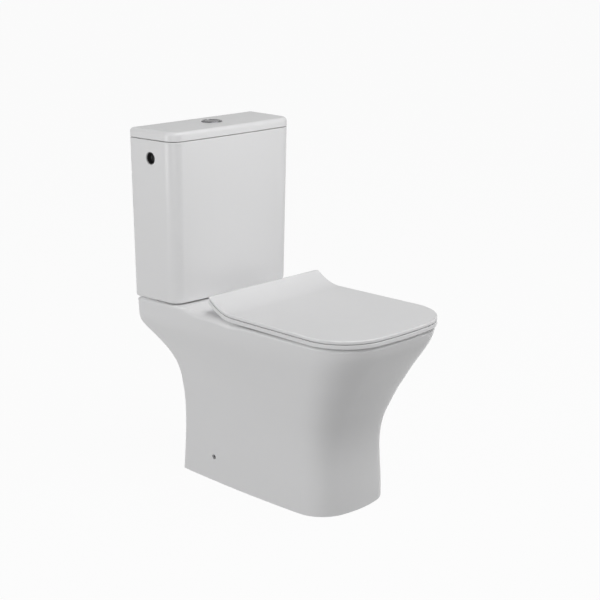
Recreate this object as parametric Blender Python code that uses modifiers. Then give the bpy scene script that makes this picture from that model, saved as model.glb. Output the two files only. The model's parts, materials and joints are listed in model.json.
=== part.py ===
"""Close coupled toilet: ceramic pan, cistern, flush and fill valves, soft-close seat and their fixings.

Metres, +Z up.  The wall is towards +Y, the user sits facing -Y, and the origin is on the floor at
the centre of the bounding box.  Depths along Y are given as distances from the wall side of the
cistern and turned into Y by from_back().
"""
import math

import bmesh
import bpy
from mathutils import Matrix, Vector

# ---------------------------------------------------------------- driving dimensions
CISTERN_WIDTH = 0.375        # widest place, at the top of the tank
DEPTH = 0.6525               # wall side of the cistern to the front of the seat
HEIGHT = 0.803               # floor to the top of the cistern lid
RIM_Z = 0.4085               # floor to the top of the pan's rim
PLATFORM_RISE = 0.007        # the shelf that carries the cistern, above the rim

GAP = 0.0003                 # left between faces that touch
SLIDE_FIT = 0.0005           # radial play of what slides or turns
CUT_PAST = 0.010             # how far a cutter runs past the face it opens

# ---------------------------------------------------------------- ceramic walls
PAN_WALL = 0.012
DECK_THICK = 0.013
TANK_WALL = 0.010
TANK_FLOOR = 0.014
TANK_LIFT = 0.0025           # seam between the pan's shelf and the tank

# ---------------------------------------------------------------- pan outside
RIM_HALF = 0.1715            # half width at the rim
RIM_SETBACK = 0.0045         # front of the rim behind the front of the seat
RIM_CORNER = 0.107
RIM_BOW = 0.003
FOOT_HALF = 0.1185           # half width of the skirt where the flare starts
FOOT_SETBACK = 0.114         # front of the skirt behind the front of the seat
FOOT_CORNER = 0.078
FOOT_BOW = 0.006
FOOT_BULGE = 0.005           # outward belly of the skirt's side
SKIRT_REAR_HALF = 0.109
SKIRT_REAR = 0.085           # skirt's rear edge, from the wall side
PLATFORM_INSET = 0.0015      # shelf inside the tank's sides
RIM_FILLET = 0.006
BACK_OPEN = 0.050            # the hollow of the pan runs out through its back
DECK_SLOPE_START = 0.265     # the deck falls to the rim between these two, from the wall side
DECK_SLOPE_END = 0.325
# how far the section has opened from foot (0) to rim (1), at shares of the rim's height
FLARE = ((0.0, -0.03), (0.15, -0.045), (0.31, -0.072), (0.42, -0.03), (0.49, 0.045), (0.56, 0.16),
         (0.64, 0.30), (0.71, 0.45), (0.785, 0.61), (0.86, 0.79), (0.92, 0.92), (0.965, 0.985), (1.0, 1.0))
# how far the rear edge has opened from skirt (0) to shelf (1), at shares of the rim's height
NECK = ((0.0, 0.07), (0.15, 0.035), (0.32, 0.013), (0.44, 0.028), (0.54, 0.075), (0.615, 0.14),
        (0.69, 0.28), (0.785, 0.57), (0.835, 0.75), (0.88, 0.89), (0.94, 0.935), (1.0, 0.945))

# ---------------------------------------------------------------- bowl, trap and flush channel
BOWL_BACK = 0.318            # back of the bowl's mouth, from the wall side
BOWL_HALF = 0.118
BOWL_RIM = 0.056             # rim's width at the front
BOWL_CORNER = 0.085
BOWL_WALL = 0.011
BOWL_BACK_CORNER = 0.060
BOWL_BOW = 0.001
BOWL_CURVE = 1.6             # power that draws the bowl in towards the sump
BOWL_LEVELS = (0.0, 0.08, 0.22, 0.42, 0.62, 0.80, 0.92, 1.0)
BOWL_JOIN = 0.004            # top of the bowl's wall below the rim
SUMP_HALF = 0.046
SUMP_CORNER = 0.044
SUMP_Z = 0.130
SUMP_BACK = 0.300
SUMP_FRONT = 0.405
OUTLET_Z = 0.185             # centre of the horizontal outlet
OUTLET_END = 0.030           # outlet's end face, from the wall side
TRAP_BORE = 0.037            # radius of the waterway
TRAP_WALL = 0.012
CROWN_Z = 0.262
CROWN_AT = 0.225
DUCT_HALF = 0.024            # flush channel from the shelf to the bowl
DUCT_HIGH = 0.026
DUCT_WALL = 0.009
WELL_RADIUS = 0.050          # recess in the shelf for the coupling seal
WELL_DEEP = 0.030
INLET_RADIUS = 0.030

# ---------------------------------------------------------------- cistern
TANK_DEPTH = 0.1439
TANK_BOW = 0.0025
TANK_BASE_NARROW = 0.00495   # each side, from top to bottom
TANK_BASE_SHALLOW = 0.0076
TANK_BASE_BOW = 0.005
TANK_SIDE_TAPER = 0.0395     # how much each side closes per metre towards the front
TANK_FRONT_RADIUS = 0.030
TANK_BACK_RADIUS = 0.010
LEAST_CORNER = 0.003
TANK_EDGE = 0.005            # fillet round the tank's base
LID_THICK = 0.0204           # cistern lid, seam to top
LID_SEAM = 0.0008
LID_WALL = 0.010
LID_EDGE = 0.009
LIP_DROP = 0.007             # locating lip of the lid, inside the tank
LIP_WALL = 0.005
LIP_PLAY = 0.002
VALVE_AT = 0.0675            # flush valve and button axis, from the wall side
SIDE_HOLE_RADIUS = 0.014
SIDE_HOLE_DROP = 0.0411      # centre of the side inlet hole below the tank's mouth
SIDE_HOLE_AT = 0.069
PLUG_INSET = 0.0015          # plug's mouth inside the tank's face
PLUG_WALL = 0.0022
PLUG_FLANGE = 0.004
PLUG_FLANGE_THICK = 0.003

# ---------------------------------------------------------------- seat
SEAT_HALF = 0.1755
SEAT_BACK_HALF = 0.171
SEAT_CORNER = 0.110
SEAT_BOW = 0.003
SEAT_BACK = 0.2325           # raised back edge of the seat lid, from the wall side
SEAT_BACK_CORNER = 0.006
RAMP_START = 0.310           # where lid and ring start to rise towards the hinges
RAMP_RUN = 0.070
RAMP_RISE = 0.0262
BUFFER_GAP = 0.0035          # rim to ring
RING_THICK = 0.0098
SEAT_SEAM = 0.0008
SEAT_LID_THICK = 0.0074
RING_HOLE_HALF = 0.104
RING_HOLE_BACK = 0.332
RING_HOLE_FRONT = 0.074      # width of the ring's front
RING_HOLE_CORNER = 0.085
RING_HOLE_BACK_CORNER = 0.050

HINGE_AT = 0.241             # hinge axis, from the wall side
HINGE_LIFT = 0.0185          # hinge axis above the shelf
HINGE_SPACING = 0.155
BARREL_RADIUS = 0.008
BARREL_HALF = 0.012
KNUCKLE_RADIUS = 0.009
KNUCKLE_GAP = 0.001
KNUCKLE_CHEEK = 0.013        # part of a knuckle that runs on the pin
KNUCKLE_END = 0.0008         # ring's knuckle inside the ring's side
NOTCH_PLAY = 0.0015          # ring's notch to the lid's knuckles
POCKET_PLAY = 0.001          # at each end of a damper
DAMPER_RADIUS = 0.0062
DAMPER_LONG = 0.038
PIN_RADIUS = 0.0036
RING_BACK = 0.248            # ring's plate ends here, its knuckles reach further back
LID_BUFFER_X = 0.144
LID_BUFFER_AT = 0.470
RING_BUFFER_REAR = 0.385
RING_BUFFER_FRONT = 0.545
BUFFER_RADIUS = 0.008
LID_BUFFER_THICK = 0.002
LID_BUFFER_SINK = 0.0005     # middle of the buffer above the lid's underside
POST_RADIUS = 0.018          # cover disc of a hinge post
POST_DISC = 0.004
POST_NECK = 0.0065
RING_EDGE = 0.0012           # rounding of the ring's and lid's lower edges
LID_TOP_EDGE = 0.003         # rounding of the lid's upper edge

# ---------------------------------------------------------------- fixings
TANK_BOLT_SPACING = 0.160
TANK_BOLT_RADIUS = 0.004
TANK_BOLT_HOLE = 0.0065
TANK_BOLT_HEAD = 0.0085
TANK_BOLT_HEAD_HIGH = 0.005
TANK_BOLT_BELOW = 0.024      # bolt's end below the deck
TANK_WASHER = 0.012
PAN_WASHER = 0.011
TANK_NUT = 0.0085
WING_HALF = 0.0018           # half the thickness of a nut's wings
NUT_PLAY = 0.003             # room round a nut that stands in a hole
SEAT_BOLT_RADIUS = 0.004
SEAT_BOLT_HOLE = 0.007
SEAT_BOLT_ABOVE = 0.003      # seat bolt's end inside the hinge post
SEAT_BOLT_BELOW = 0.032
SEAT_BUSH_SHORT = 0.001      # bush inside the deck, at each end
SEAT_NUT = 0.0115
SIDE_FIX_AT = 0.186          # side fixing hole of the pan, from the wall side
SIDE_FIX_Z = 0.057
SIDE_FIX_HOLE = 0.0048
BRACKET_HALF = 0.020
BRACKET_FOOT = 0.045
BRACKET_THICK = 0.007
BRACKET_ABOVE = 0.016        # upright above the side screw
BRACKET_PLAY = 0.002         # upright to the skirt
SCREW_SINK = 0.004           # side screw's head inside the skirt's face
SCREW_HEAD_HIGH = 0.003
BRACKET_SCREW_HOLE = 0.0033
SCREW_RADIUS = 0.0028
SCREW_HEAD_WIDER = 1.5
FLOOR_HEAD_WIDER = 2.0
FLOOR_HEAD_EDGE = 0.0025
FLOOR_HEAD_HIGH = 0.0040

# ---------------------------------------------------------------- flush valve, fill valve, button
VALVE_HOLE = 0.0315
VALVE_TAIL = 0.0290
VALVE_BORE = 0.0240
VALVE_FLANGE = 0.040
VALVE_FLANGE_THICK = 0.004
VALVE_SEAT_HIGH = 0.013      # flange's underside to the seat
VALVE_SEAT_WALL = 0.004
VALVE_TAIL_BELOW = 0.010     # tail below the back nut
SEAL_THICK = 0.003
SEAL_WIDE = 0.003            # seal past the bore it shuts
SEAL_PLAY = 0.0015
TOWER_RADIUS = 0.034
TOWER_WALL = 0.0025
TOWER_MOUTH = 0.0215
TOWER_RIM = 0.003
TOWER_WINDOW_HALF = 0.014
TOWER_WINDOW_LOW = 0.006     # windows, from the tower's foot
TOWER_WINDOW_HIGH = 0.060
OVERFLOW_RADIUS = 0.0145
OVERFLOW_BELOW = 0.050       # tube's top below the tower's
OVERFLOW_FOOT = 0.002        # foot plate past the bore
OVERFLOW_FOOT_THICK = 0.003
OVERFLOW_STUB = 0.0100
OVERFLOW_STUB_LONG = 0.008
OVERFLOW_WALL = 0.0015
TOWER_CLEAR = 0.085          # tower's top below the tank's mouth
FILL_AT_X = 0.122
FILL_AT = 0.068
FILL_TUBE = 0.0125
FILL_TAIL = 0.0100
FILL_HOLE = 0.0115
FILL_NUT = 0.0170
FILL_HEAD_CLEAR = 0.030
FLOAT_RADIUS = 0.030
FLOAT_HIGH = 0.055
FLOAT_WALL = 0.002
FLOAT_CLEAR = 0.004          # raised float to the valve's head
BUTTON_RADIUS = 0.0240       # outside of the bezel
BUTTON_TUBE = 0.0200         # threaded tube through the lid
BUTTON_BORE = 0.0185
BUTTON_PROUD = 0.0025
BUTTON_HIGH = 0.012
BUTTON_RECESS = 0.0005       # buttons' faces below the bezel's
BUTTON_EDGE = 0.001
BUTTON_DISH = 0.0003
BEZEL_STEP = 0.002           # inner ledge at the tube's end
BUTTON_NUT_WIDE = 0.003
BUTTON_NUT_HIGH = 0.008
ROD_BELOW = 0.012            # rods reach below the tower's top
BUTTON_SPLIT = 0.006         # the half-flush button takes what is beyond this, towards +X
ROD_RADIUS = 0.0028
BEZEL_LONG = 0.026           # threaded tube below the lid's top
VALVE_NUT = 0.0420
VALVE_NUT_HIGH = 0.012
WASHER_THICK = 0.003
FILL_HEAD = 0.034
FILL_HEAD_RADIUS = 0.021
FILL_HEAD_FOOT = 0.017
FILL_HEAD_EDGE = 0.002
FILL_BORE = 0.006
FILL_FLANGE_THICK = 0.005
FILL_TAIL_BELOW = 0.045      # tail's end below the tank
FILL_NUT_HIGH = 0.009
FLOAT_TRAVEL = 0.045

FINE = 36                    # segments of the large turned pieces
MEDIUM = 20
COARSE = 12

# ---------------------------------------------------------------- levels that follow from these
BACK_Y = DEPTH / 2
FRONT_Y = -DEPTH / 2
PLATFORM_Z = RIM_Z + PLATFORM_RISE
TANK_Z = PLATFORM_Z + TANK_LIFT
TANK_TOP = HEIGHT - LID_THICK - LID_SEAM
TANK_FLOOR_Z = TANK_Z + TANK_FLOOR
LID_Z = HEIGHT - LID_THICK
RING_Z = RIM_Z + BUFFER_GAP
RING_TOP = RING_Z + RING_THICK
SEAT_LID_Z = RING_TOP + SEAT_SEAM
HINGE_Z = PLATFORM_Z + HINGE_LIFT


def from_back(distance):
    """Y of a point this far in front of the wall side of the cistern."""
    return BACK_Y - distance


VALVE_Y = from_back(VALVE_AT)
HINGE_Y = from_back(HINGE_AT)


# ---------------------------------------------------------------- scene, collections, materials
for old in list(bpy.data.objects):
    bpy.data.objects.remove(old, do_unlink=True)

PARTS = bpy.data.collections.new("close_coupled_toilet")
CUTTERS = bpy.data.collections.new("cutters")
for collection in (PARTS, CUTTERS):
    bpy.context.scene.collection.children.link(collection)


def make_material(name, colour, roughness, metallic=0.0):
    material = bpy.data.materials.new(name)
    material.use_nodes = True
    shader = material.node_tree.nodes["Principled BSDF"]
    shader.inputs["Base Color"].default_value = (*colour, 1.0)
    shader.inputs["Roughness"].default_value = roughness
    shader.inputs["Metallic"].default_value = metallic
    return material


CERAMIC = make_material("glazed_ceramic", (0.82, 0.82, 0.82), 0.12)
SEAT_PLASTIC = make_material("seat_plastic", (0.83, 0.83, 0.83), 0.22)
CHROME = make_material("chrome", (0.55, 0.56, 0.58), 0.08, 1.0)
STEEL = make_material("steel", (0.60, 0.60, 0.62), 0.30, 1.0)
RUBBER = make_material("black_rubber", (0.03, 0.03, 0.03), 0.70)
BLACK_PLASTIC = make_material("black_plastic", (0.02, 0.02, 0.02), 0.45)
WHITE_PLASTIC = make_material("white_plastic", (0.80, 0.80, 0.79), 0.40)
GREY_PLASTIC = make_material("grey_plastic", (0.45, 0.47, 0.50), 0.45)
NYLON = make_material("nylon", (0.75, 0.74, 0.70), 0.50)


# ---------------------------------------------------------------- building blocks
def add_object(name, mesh, material=None):
    """Put a mesh in the parts collection, or with no material in the cutters collection."""
    piece = bpy.data.objects.new(name, mesh)
    if material is None:
        CUTTERS.objects.link(piece)
        piece.hide_render = True
        piece.display_type = "WIRE"
    else:
        PARTS.objects.link(piece)
        mesh.materials.append(material)
    return piece


def smooth(piece, angle=35):
    piece.data.shade_smooth()
    piece.data.set_sharp_from_angle(angle=math.radians(angle))
    return piece


def from_bmesh(name, shape, material=None):
    bmesh.ops.recalc_face_normals(shape, faces=shape.faces)
    mesh = bpy.data.meshes.new(name)
    shape.to_mesh(mesh)
    shape.free()
    return smooth(add_object(name, mesh, material))


AXES = {"Z": Matrix(), "X": Matrix.Rotation(math.radians(90), 4, "Y"),
        "-X": Matrix.Rotation(math.radians(-90), 4, "Y")}
SIDES = (("left", -1), ("right", 1))


def rod(name, centre, radius, length, axis="Z", material=None, sides=MEDIUM):
    """A cylinder centred on a point."""
    shape = bmesh.new()
    bmesh.ops.create_cone(shape, cap_ends=True, segments=sides, radius1=radius, radius2=radius,
                          depth=length, matrix=Matrix.Translation(centre) @ AXES[axis])
    return from_bmesh(name, shape, material)


def block(name, low, high, material=None):
    """A box between two corners."""
    low = Vector(low)
    high = Vector(high)
    shape = bmesh.new()
    size = high - low
    bmesh.ops.create_cube(shape, size=1.0,
                          matrix=Matrix.Translation((low + high) / 2) @ Matrix.Diagonal((*size, 1.0)))
    return from_bmesh(name, shape, material)


def turned(name, profile, centre, material, sides=MEDIUM, axis="Z"):
    """Turn a closed profile of (radius, height) round an axis; its outer side runs downwards."""
    mesh = bpy.data.meshes.new(name)
    points = [(radius, 0.0, height) for radius, height in profile]
    on_axis = profile[0][0] == 0 and profile[-1][0] == 0
    count = len(points)
    edges = [(i, i + 1) for i in range(count - 1)]
    if not on_axis:
        edges.append((count - 1, 0))
    mesh.from_pydata(points, edges, [])
    piece = add_object(name, mesh, material)
    piece.matrix_world = Matrix.Translation(centre) @ AXES[axis]
    screw = piece.modifiers.new("turn", "SCREW")
    screw.axis = "Z"
    screw.steps = sides
    screw.render_steps = sides
    screw.use_merge_vertices = True
    screw.merge_threshold = 0.00005
    screw.use_smooth_shade = True
    return piece


def washer(outer, inner, low, high):
    """Profile of a plain ring."""
    return [(outer, high), (outer, low), (inner, low), (inner, high)]


def combine(piece, operation, *others):
    """Cut away, or join on, other pieces."""
    for other in others:
        step = piece.modifiers.new(other.name, "BOOLEAN")
        step.operation = operation
        step.object = other
        step.solver = "EXACT"
    return piece


def cut(piece, *others):
    return combine(piece, "DIFFERENCE", *others)


def join(piece, *others):
    return combine(piece, "UNION", *others)


def interpolate(table, share):
    """Smooth value from a table of (share, value), by a Catmull-Rom curve through it."""
    if share <= table[0][0]:
        return table[0][1]
    if share >= table[-1][0]:
        return table[-1][1]
    last = len(table) - 1
    i = next(k for k in range(last) if table[k][0] <= share <= table[k + 1][0])
    (x0, y0), (x1, y1) = table[i], table[i + 1]
    before = table[max(i - 1, 0)]
    after = table[min(i + 2, last)]
    slope0 = (y1 - before[1]) / (x1 - before[0])
    slope1 = (after[1] - y0) / (after[0] - x0)
    t = (share - x0) / (x1 - x0)
    run = x1 - x0
    return ((2 * t**3 - 3 * t**2 + 1) * y0 + (t**3 - 2 * t**2 + t) * run * slope0
            + (3 * t**2 - 2 * t**3) * y1 + (t**3 - t**2) * run * slope1)


def arc_points(x, y, radius, start, end, count):
    """Points on an arc round (x, y), angles in degrees."""
    return [(x + radius * math.cos(math.radians(start + (end - start) * k / count)),
             y + radius * math.sin(math.radians(start + (end - start) * k / count)))
            for k in range(count + 1)]


def plan_half(half_back, half_front, back, front, back_radius, front_radius, bow,
              bulge=0.0, stations=(), arc=7):
    """Right half of a plan outline, from the back to the front at the centre line.

    The stations are the distances from the wall side at which the straight side gets a point.
    """
    points = []
    if back_radius > 0:
        points += arc_points(half_back - back_radius, back - back_radius, back_radius, 90, 0, 3)
    else:
        points.append((half_back, back))
    corner_y = front + bow + front_radius
    start_x, start_y = points[-1]
    for distance in stations:
        t = (from_back(distance) - start_y) / (corner_y - start_y)
        points.append((start_x + (half_front - start_x) * t + bulge * 4 * t * (1 - t),
                       start_y + (corner_y - start_y) * t))
    points += arc_points(half_front - front_radius, corner_y, front_radius, 0, -90, arc)
    flat = half_front - front_radius
    points.append((flat * 2 / 3, front + bow / 4))
    points.append((flat / 3, front))
    return points


def loft(name, halves, heights, material=None):
    """Skin a pile of mirrored half outlines; heights gives z for each point of each outline."""
    shape = bmesh.new()
    rows = []
    for half, height in zip(halves, heights):
        right = [shape.verts.new((x, y, height(y))) for x, y in half]
        left = [shape.verts.new((-x, y, height(y))) for x, y in half]
        rows.append((right, left))
    for (right0, left0), (right1, left1) in zip(rows, rows[1:]):
        for a0, a1 in ((right0, right1), (left0, left1)):
            for i in range(len(a0) - 1):
                shape.faces.new((a0[i], a0[i + 1], a1[i + 1], a1[i]))
        shape.faces.new((right0[0], right1[0], left1[0], left0[0]))
        shape.faces.new((right0[-1], right1[-1], left1[-1], left0[-1]))
    for right, left in (rows[0], rows[-1]):
        for i in range(len(right) - 1):
            shape.faces.new((right[i], right[i + 1], left[i + 1], left[i]))
    return from_bmesh(name, shape, material)


def level(z):
    """A height that is the same all over."""
    return lambda y: z


# ---------------------------------------------------------------- pan
def deck_z(y):
    """Top of the pan: level with the shelf at the back, falling to the rim in front of the hinges."""
    t = (from_back(DECK_SLOPE_START) - y) / (DECK_SLOPE_END - DECK_SLOPE_START)
    t = min(max(t, 0.0), 1.0)
    return PLATFORM_Z - PLATFORM_RISE * t * t * (3 - 2 * t)


def pan_half(z, inset=0.0, back_inset=0.0):
    """Half outline of the pan at a height, moved in by an inset."""
    share = z / RIM_Z
    flare = interpolate(FLARE, share)
    neck = interpolate(NECK, share)
    shelf_half = CISTERN_WIDTH / 2 - TANK_BASE_NARROW - PLATFORM_INSET
    half_back = SKIRT_REAR_HALF + (shelf_half - SKIRT_REAR_HALF) * neck
    half_front = FOOT_HALF + (RIM_HALF - FOOT_HALF) * flare
    front = FRONT_Y + FOOT_SETBACK + (RIM_SETBACK - FOOT_SETBACK) * flare
    radius = FOOT_CORNER + (RIM_CORNER - FOOT_CORNER) * flare
    bow = FOOT_BOW + (RIM_BOW - FOOT_BOW) * flare
    back = from_back(SKIRT_REAR * (1 - neck))
    return plan_half(half_back - inset, half_front - inset, back - back_inset, front + inset, 0.0,
                     radius - inset, bow, FOOT_BULGE * (1 - flare), PAN_STATIONS)


DECK_SLOPE = DECK_SLOPE_END - DECK_SLOPE_START
PAN_STATIONS = (SKIRT_REAR + 0.08, DECK_SLOPE_START, DECK_SLOPE_START + DECK_SLOPE / 3,
                DECK_SLOPE_START + DECK_SLOPE * 2 / 3, DECK_SLOPE_END, DECK_SLOPE_END + 0.06)
PAN_LEVELS = (0.0, 0.15, 0.31, 0.42, 0.49, 0.56, 0.64, 0.71, 0.785, 0.86, 0.92, 0.96)


def make_pan():
    halves = [pan_half(RIM_Z * share) for share in PAN_LEVELS]
    heights = [level(RIM_Z * share) for share in PAN_LEVELS]
    for angle in (0, 30, 60, 90):
        turn = math.radians(angle)
        inset = RIM_FILLET * (1 - math.cos(turn))
        drop = RIM_FILLET * (1 - math.sin(turn))
        halves.append(pan_half(RIM_Z, inset, inset))
        heights.append(lambda y, drop=drop: deck_z(y) - drop)
    pan = loft("pan", halves, heights, CERAMIC)

    # the casting is hollow: open below and at the back
    shares = PAN_LEVELS[:-1]
    hollow = [pan_half(RIM_Z * share, PAN_WALL, -BACK_OPEN) for share in shares]
    hollow_z = [level(RIM_Z * share) for share in shares]
    hollow_z[0] = level(-CUT_PAST)
    hollow.append(pan_half(RIM_Z, PAN_WALL, -BACK_OPEN))
    hollow_z.append(lambda y: deck_z(y) - DECK_THICK)
    cut(pan, loft("cut_hollow", hollow, hollow_z))

    join(pan, bowl_loft("add_bowl", BOWL_WALL, RIM_Z - BOWL_JOIN),
         trap_tube("add_trap", TRAP_BORE + TRAP_WALL))
    duct_z = PLATFORM_Z - WELL_DEEP - DUCT_HIGH / 2
    duct_back = VALVE_Y + INLET_RADIUS
    duct_side = DUCT_HALF + DUCT_WALL
    well_high = WELL_DEEP + DUCT_WALL
    join(pan, block("add_duct", (-duct_side, from_back(BOWL_BACK), duct_z - DUCT_HIGH / 2 - DUCT_WALL),
                    (duct_side, duct_back + DUCT_WALL, PLATFORM_Z - DECK_THICK / 2)),
         rod("add_well", (0, VALVE_Y, PLATFORM_Z - DECK_THICK / 3 - well_high / 2), WELL_RADIUS + DUCT_WALL,
             well_high, sides=FINE))

    cut(pan, bowl_loft("cut_bowl", 0.0, RIM_Z + 2 * CUT_PAST), trap_tube("cut_trap", TRAP_BORE),
        block("cut_duct", (-DUCT_HALF, from_back(BOWL_BACK) - 2 * CUT_PAST, duct_z - DUCT_HIGH / 2),
              (DUCT_HALF, VALVE_Y, duct_z + DUCT_HIGH / 2)),
        rod("cut_inlet", (0, VALVE_Y, duct_z + DUCT_HIGH / 2), INLET_RADIUS, 2 * DUCT_HIGH, sides=MEDIUM),
        rod("cut_well", (0, VALVE_Y, PLATFORM_Z), WELL_RADIUS, 2 * WELL_DEEP, sides=FINE))

    hole_long = 4 * DECK_THICK
    cut(pan, rod("cut_fill_tail", (FILL_AT_X, from_back(FILL_AT), PLATFORM_Z),
                 FILL_NUT + NUT_PLAY, hole_long))
    for side, sign in SIDES:
        cut(pan,
            rod("cut_tank_bolt_" + side, (sign * TANK_BOLT_SPACING / 2, VALVE_Y, PLATFORM_Z),
                TANK_BOLT_HOLE, hole_long, sides=COARSE),
            rod("cut_seat_bolt_" + side, (sign * HINGE_SPACING / 2, HINGE_Y, PLATFORM_Z),
                SEAT_BOLT_HOLE, hole_long, sides=COARSE),
            rod("cut_side_fix_" + side, (sign * SKIRT_REAR_HALF, from_back(SIDE_FIX_AT), SIDE_FIX_Z),
                SIDE_FIX_HOLE, 4 * PAN_WALL, "X", sides=COARSE))
    return pan


def bowl_loft(name, wall, top_z):
    """The bowl, from its mouth down to the sump; wall thickens it outwards."""
    mouth_front = FRONT_Y + RIM_SETBACK + BOWL_RIM
    mouth_back = from_back(BOWL_BACK)
    sump_front = from_back(SUMP_FRONT)
    sump_back = from_back(SUMP_BACK)
    halves = []
    heights = []
    for share in BOWL_LEVELS:
        pull = share ** BOWL_CURVE
        half = BOWL_HALF + (SUMP_HALF - BOWL_HALF) * pull
        front = mouth_front + (sump_front - mouth_front) * pull
        back = mouth_back + (sump_back - mouth_back) * pull
        radius = BOWL_CORNER + (SUMP_CORNER - BOWL_CORNER) * pull
        back_radius = BOWL_BACK_CORNER + (SUMP_CORNER - BOWL_BACK_CORNER) * pull
        halves.append(plan_half(half + wall, half + wall, back + wall, front - wall, back_radius + wall,
                                radius + wall, BOWL_BOW))
        heights.append(level(RIM_Z + (SUMP_Z - RIM_Z) * share))
    heights[0] = level(top_z)
    heights[-1] = level(SUMP_Z - wall)
    return loft(name, halves, heights)


def trap_tube(name, radius):
    """The waterway from the sump over the crown to the outlet, as a swept tube."""
    overrun = 0.0 if radius > TRAP_BORE else 2 * CUT_PAST
    route = ((SUMP_BACK + 0.055, SUMP_Z + TRAP_BORE + 0.002), (SUMP_BACK + 0.02, SUMP_Z + TRAP_BORE + 0.006),
             (SUMP_BACK - 0.025, SUMP_Z + TRAP_BORE + 0.040), (CROWN_AT + 0.022, CROWN_Z - 0.010),
             (CROWN_AT, CROWN_Z), (CROWN_AT - 0.030, CROWN_Z - 0.010), (CROWN_AT - 0.062, OUTLET_Z + 0.030),
             (CROWN_AT - 0.095, OUTLET_Z + 0.004), (CROWN_AT - 0.125, OUTLET_Z),
             (OUTLET_END - overrun, OUTLET_Z))
    curve = bpy.data.curves.new(name, "CURVE")
    curve.dimensions = "3D"
    spline = curve.splines.new("POLY")
    spline.points.add(len(route) - 1)
    for point, (distance, z) in zip(spline.points, route):
        point.co = (0.0, from_back(distance), z, 1.0)
    curve.bevel_depth = radius
    curve.bevel_resolution = 4
    curve.use_fill_caps = True
    guide = bpy.data.objects.new(name + "_curve", curve)
    CUTTERS.objects.link(guide)
    bpy.context.view_layer.update()
    evaluated = guide.evaluated_get(bpy.context.evaluated_depsgraph_get())
    mesh = bpy.data.meshes.new_from_object(evaluated)
    tube = add_object(name, mesh)
    tube.matrix_world = guide.matrix_world
    bpy.data.objects.remove(guide, do_unlink=True)
    shape = bmesh.new()
    shape.from_mesh(mesh)
    bmesh.ops.remove_doubles(shape, verts=shape.verts, dist=0.00001)
    bmesh.ops.recalc_face_normals(shape, faces=shape.faces)
    shape.to_mesh(mesh)
    shape.free()
    return tube


def half_at(half, y):
    """Half width of an outline at a place along Y."""
    for (x0, y0), (x1, y1) in zip(half, half[1:]):
        if y1 <= y <= y0 and y0 > y1:
            return x0 + (x1 - x0) * (y0 - y) / (y0 - y1)
    return half[0][0]


# ---------------------------------------------------------------- cistern
def tank_half(share, inset=0.0):
    """Half outline of the cistern, from its base (0) to its mouth (1)."""
    half_back = CISTERN_WIDTH / 2 - TANK_BASE_NARROW * (1 - share)
    depth = TANK_DEPTH - TANK_BASE_SHALLOW * (1 - share)
    bow = TANK_BASE_BOW + (TANK_BOW - TANK_BASE_BOW) * share
    half_front = half_back - TANK_SIDE_TAPER * depth
    return plan_half(half_back - inset, half_front - inset, BACK_Y - inset,
                     BACK_Y - depth - bow + inset, max(TANK_BACK_RADIUS - inset, LEAST_CORNER),
                     max(TANK_FRONT_RADIUS - inset, LEAST_CORNER), bow, arc=6)


def make_tank():
    halves = []
    heights = []
    for angle in (90, 45, 0):
        turn = math.radians(angle)
        halves.append(tank_half(0.0, TANK_EDGE * (1 - math.cos(turn))))
        heights.append(level(TANK_Z + TANK_EDGE * (1 - math.sin(turn))))
    halves.append(tank_half(1.0))
    heights.append(level(TANK_TOP))
    tank = loft("cistern_tank", halves, heights, CERAMIC)
    inside = [tank_half(0.0, TANK_WALL + TANK_EDGE), tank_half(0.0, TANK_WALL), tank_half(1.0, TANK_WALL)]
    cut(tank, loft("cut_tank", inside, [level(TANK_FLOOR_Z), level(TANK_FLOOR_Z + TANK_EDGE),
                                        level(TANK_TOP + CUT_PAST)]),
        rod("cut_valve_hole", (0, VALVE_Y, TANK_FLOOR_Z), VALVE_HOLE, 3 * TANK_FLOOR, sides=FINE),
        rod("cut_fill_hole", (FILL_AT_X, from_back(FILL_AT), TANK_FLOOR_Z), FILL_HOLE, 3 * TANK_FLOOR))
    for side, sign in SIDES:
        cut(tank,
            rod("cut_bolt_hole_" + side, (sign * TANK_BOLT_SPACING / 2, VALVE_Y, TANK_FLOOR_Z),
                TANK_BOLT_HOLE, 3 * TANK_FLOOR, sides=COARSE),
            rod("cut_inlet_" + side,
                (sign * CISTERN_WIDTH / 2, from_back(SIDE_HOLE_AT), TANK_TOP - SIDE_HOLE_DROP),
                SIDE_HOLE_RADIUS, 4 * TANK_WALL, "X", sides=MEDIUM))
    return tank


def make_cistern_lid():
    halves = [tank_half(1.0)]
    heights = [level(LID_Z)]
    for angle in (0, 22.5, 45, 67.5, 90):
        turn = math.radians(angle)
        halves.append(tank_half(1.0, LID_EDGE * (1 - math.cos(turn))))
        heights.append(level(HEIGHT - LID_EDGE * (1 - math.sin(turn))))
    lid = loft("cistern_lid", halves, heights, CERAMIC)
    lip = TANK_WALL + LIP_PLAY
    join(lid, loft("add_lip", [tank_half(1.0, lip)] * 2, [level(LID_Z - LIP_DROP), level(HEIGHT - LID_WALL)]))
    cut(lid, loft("cut_lid", [tank_half(1.0, lip + LIP_WALL)] * 2,
                  [level(LID_Z - 2 * LIP_DROP), level(HEIGHT - LID_WALL)]),
        rod("cut_button_hole", (0, VALVE_Y, HEIGHT), BUTTON_TUBE + SLIDE_FIT, 4 * LID_WALL))
    return lid


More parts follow.
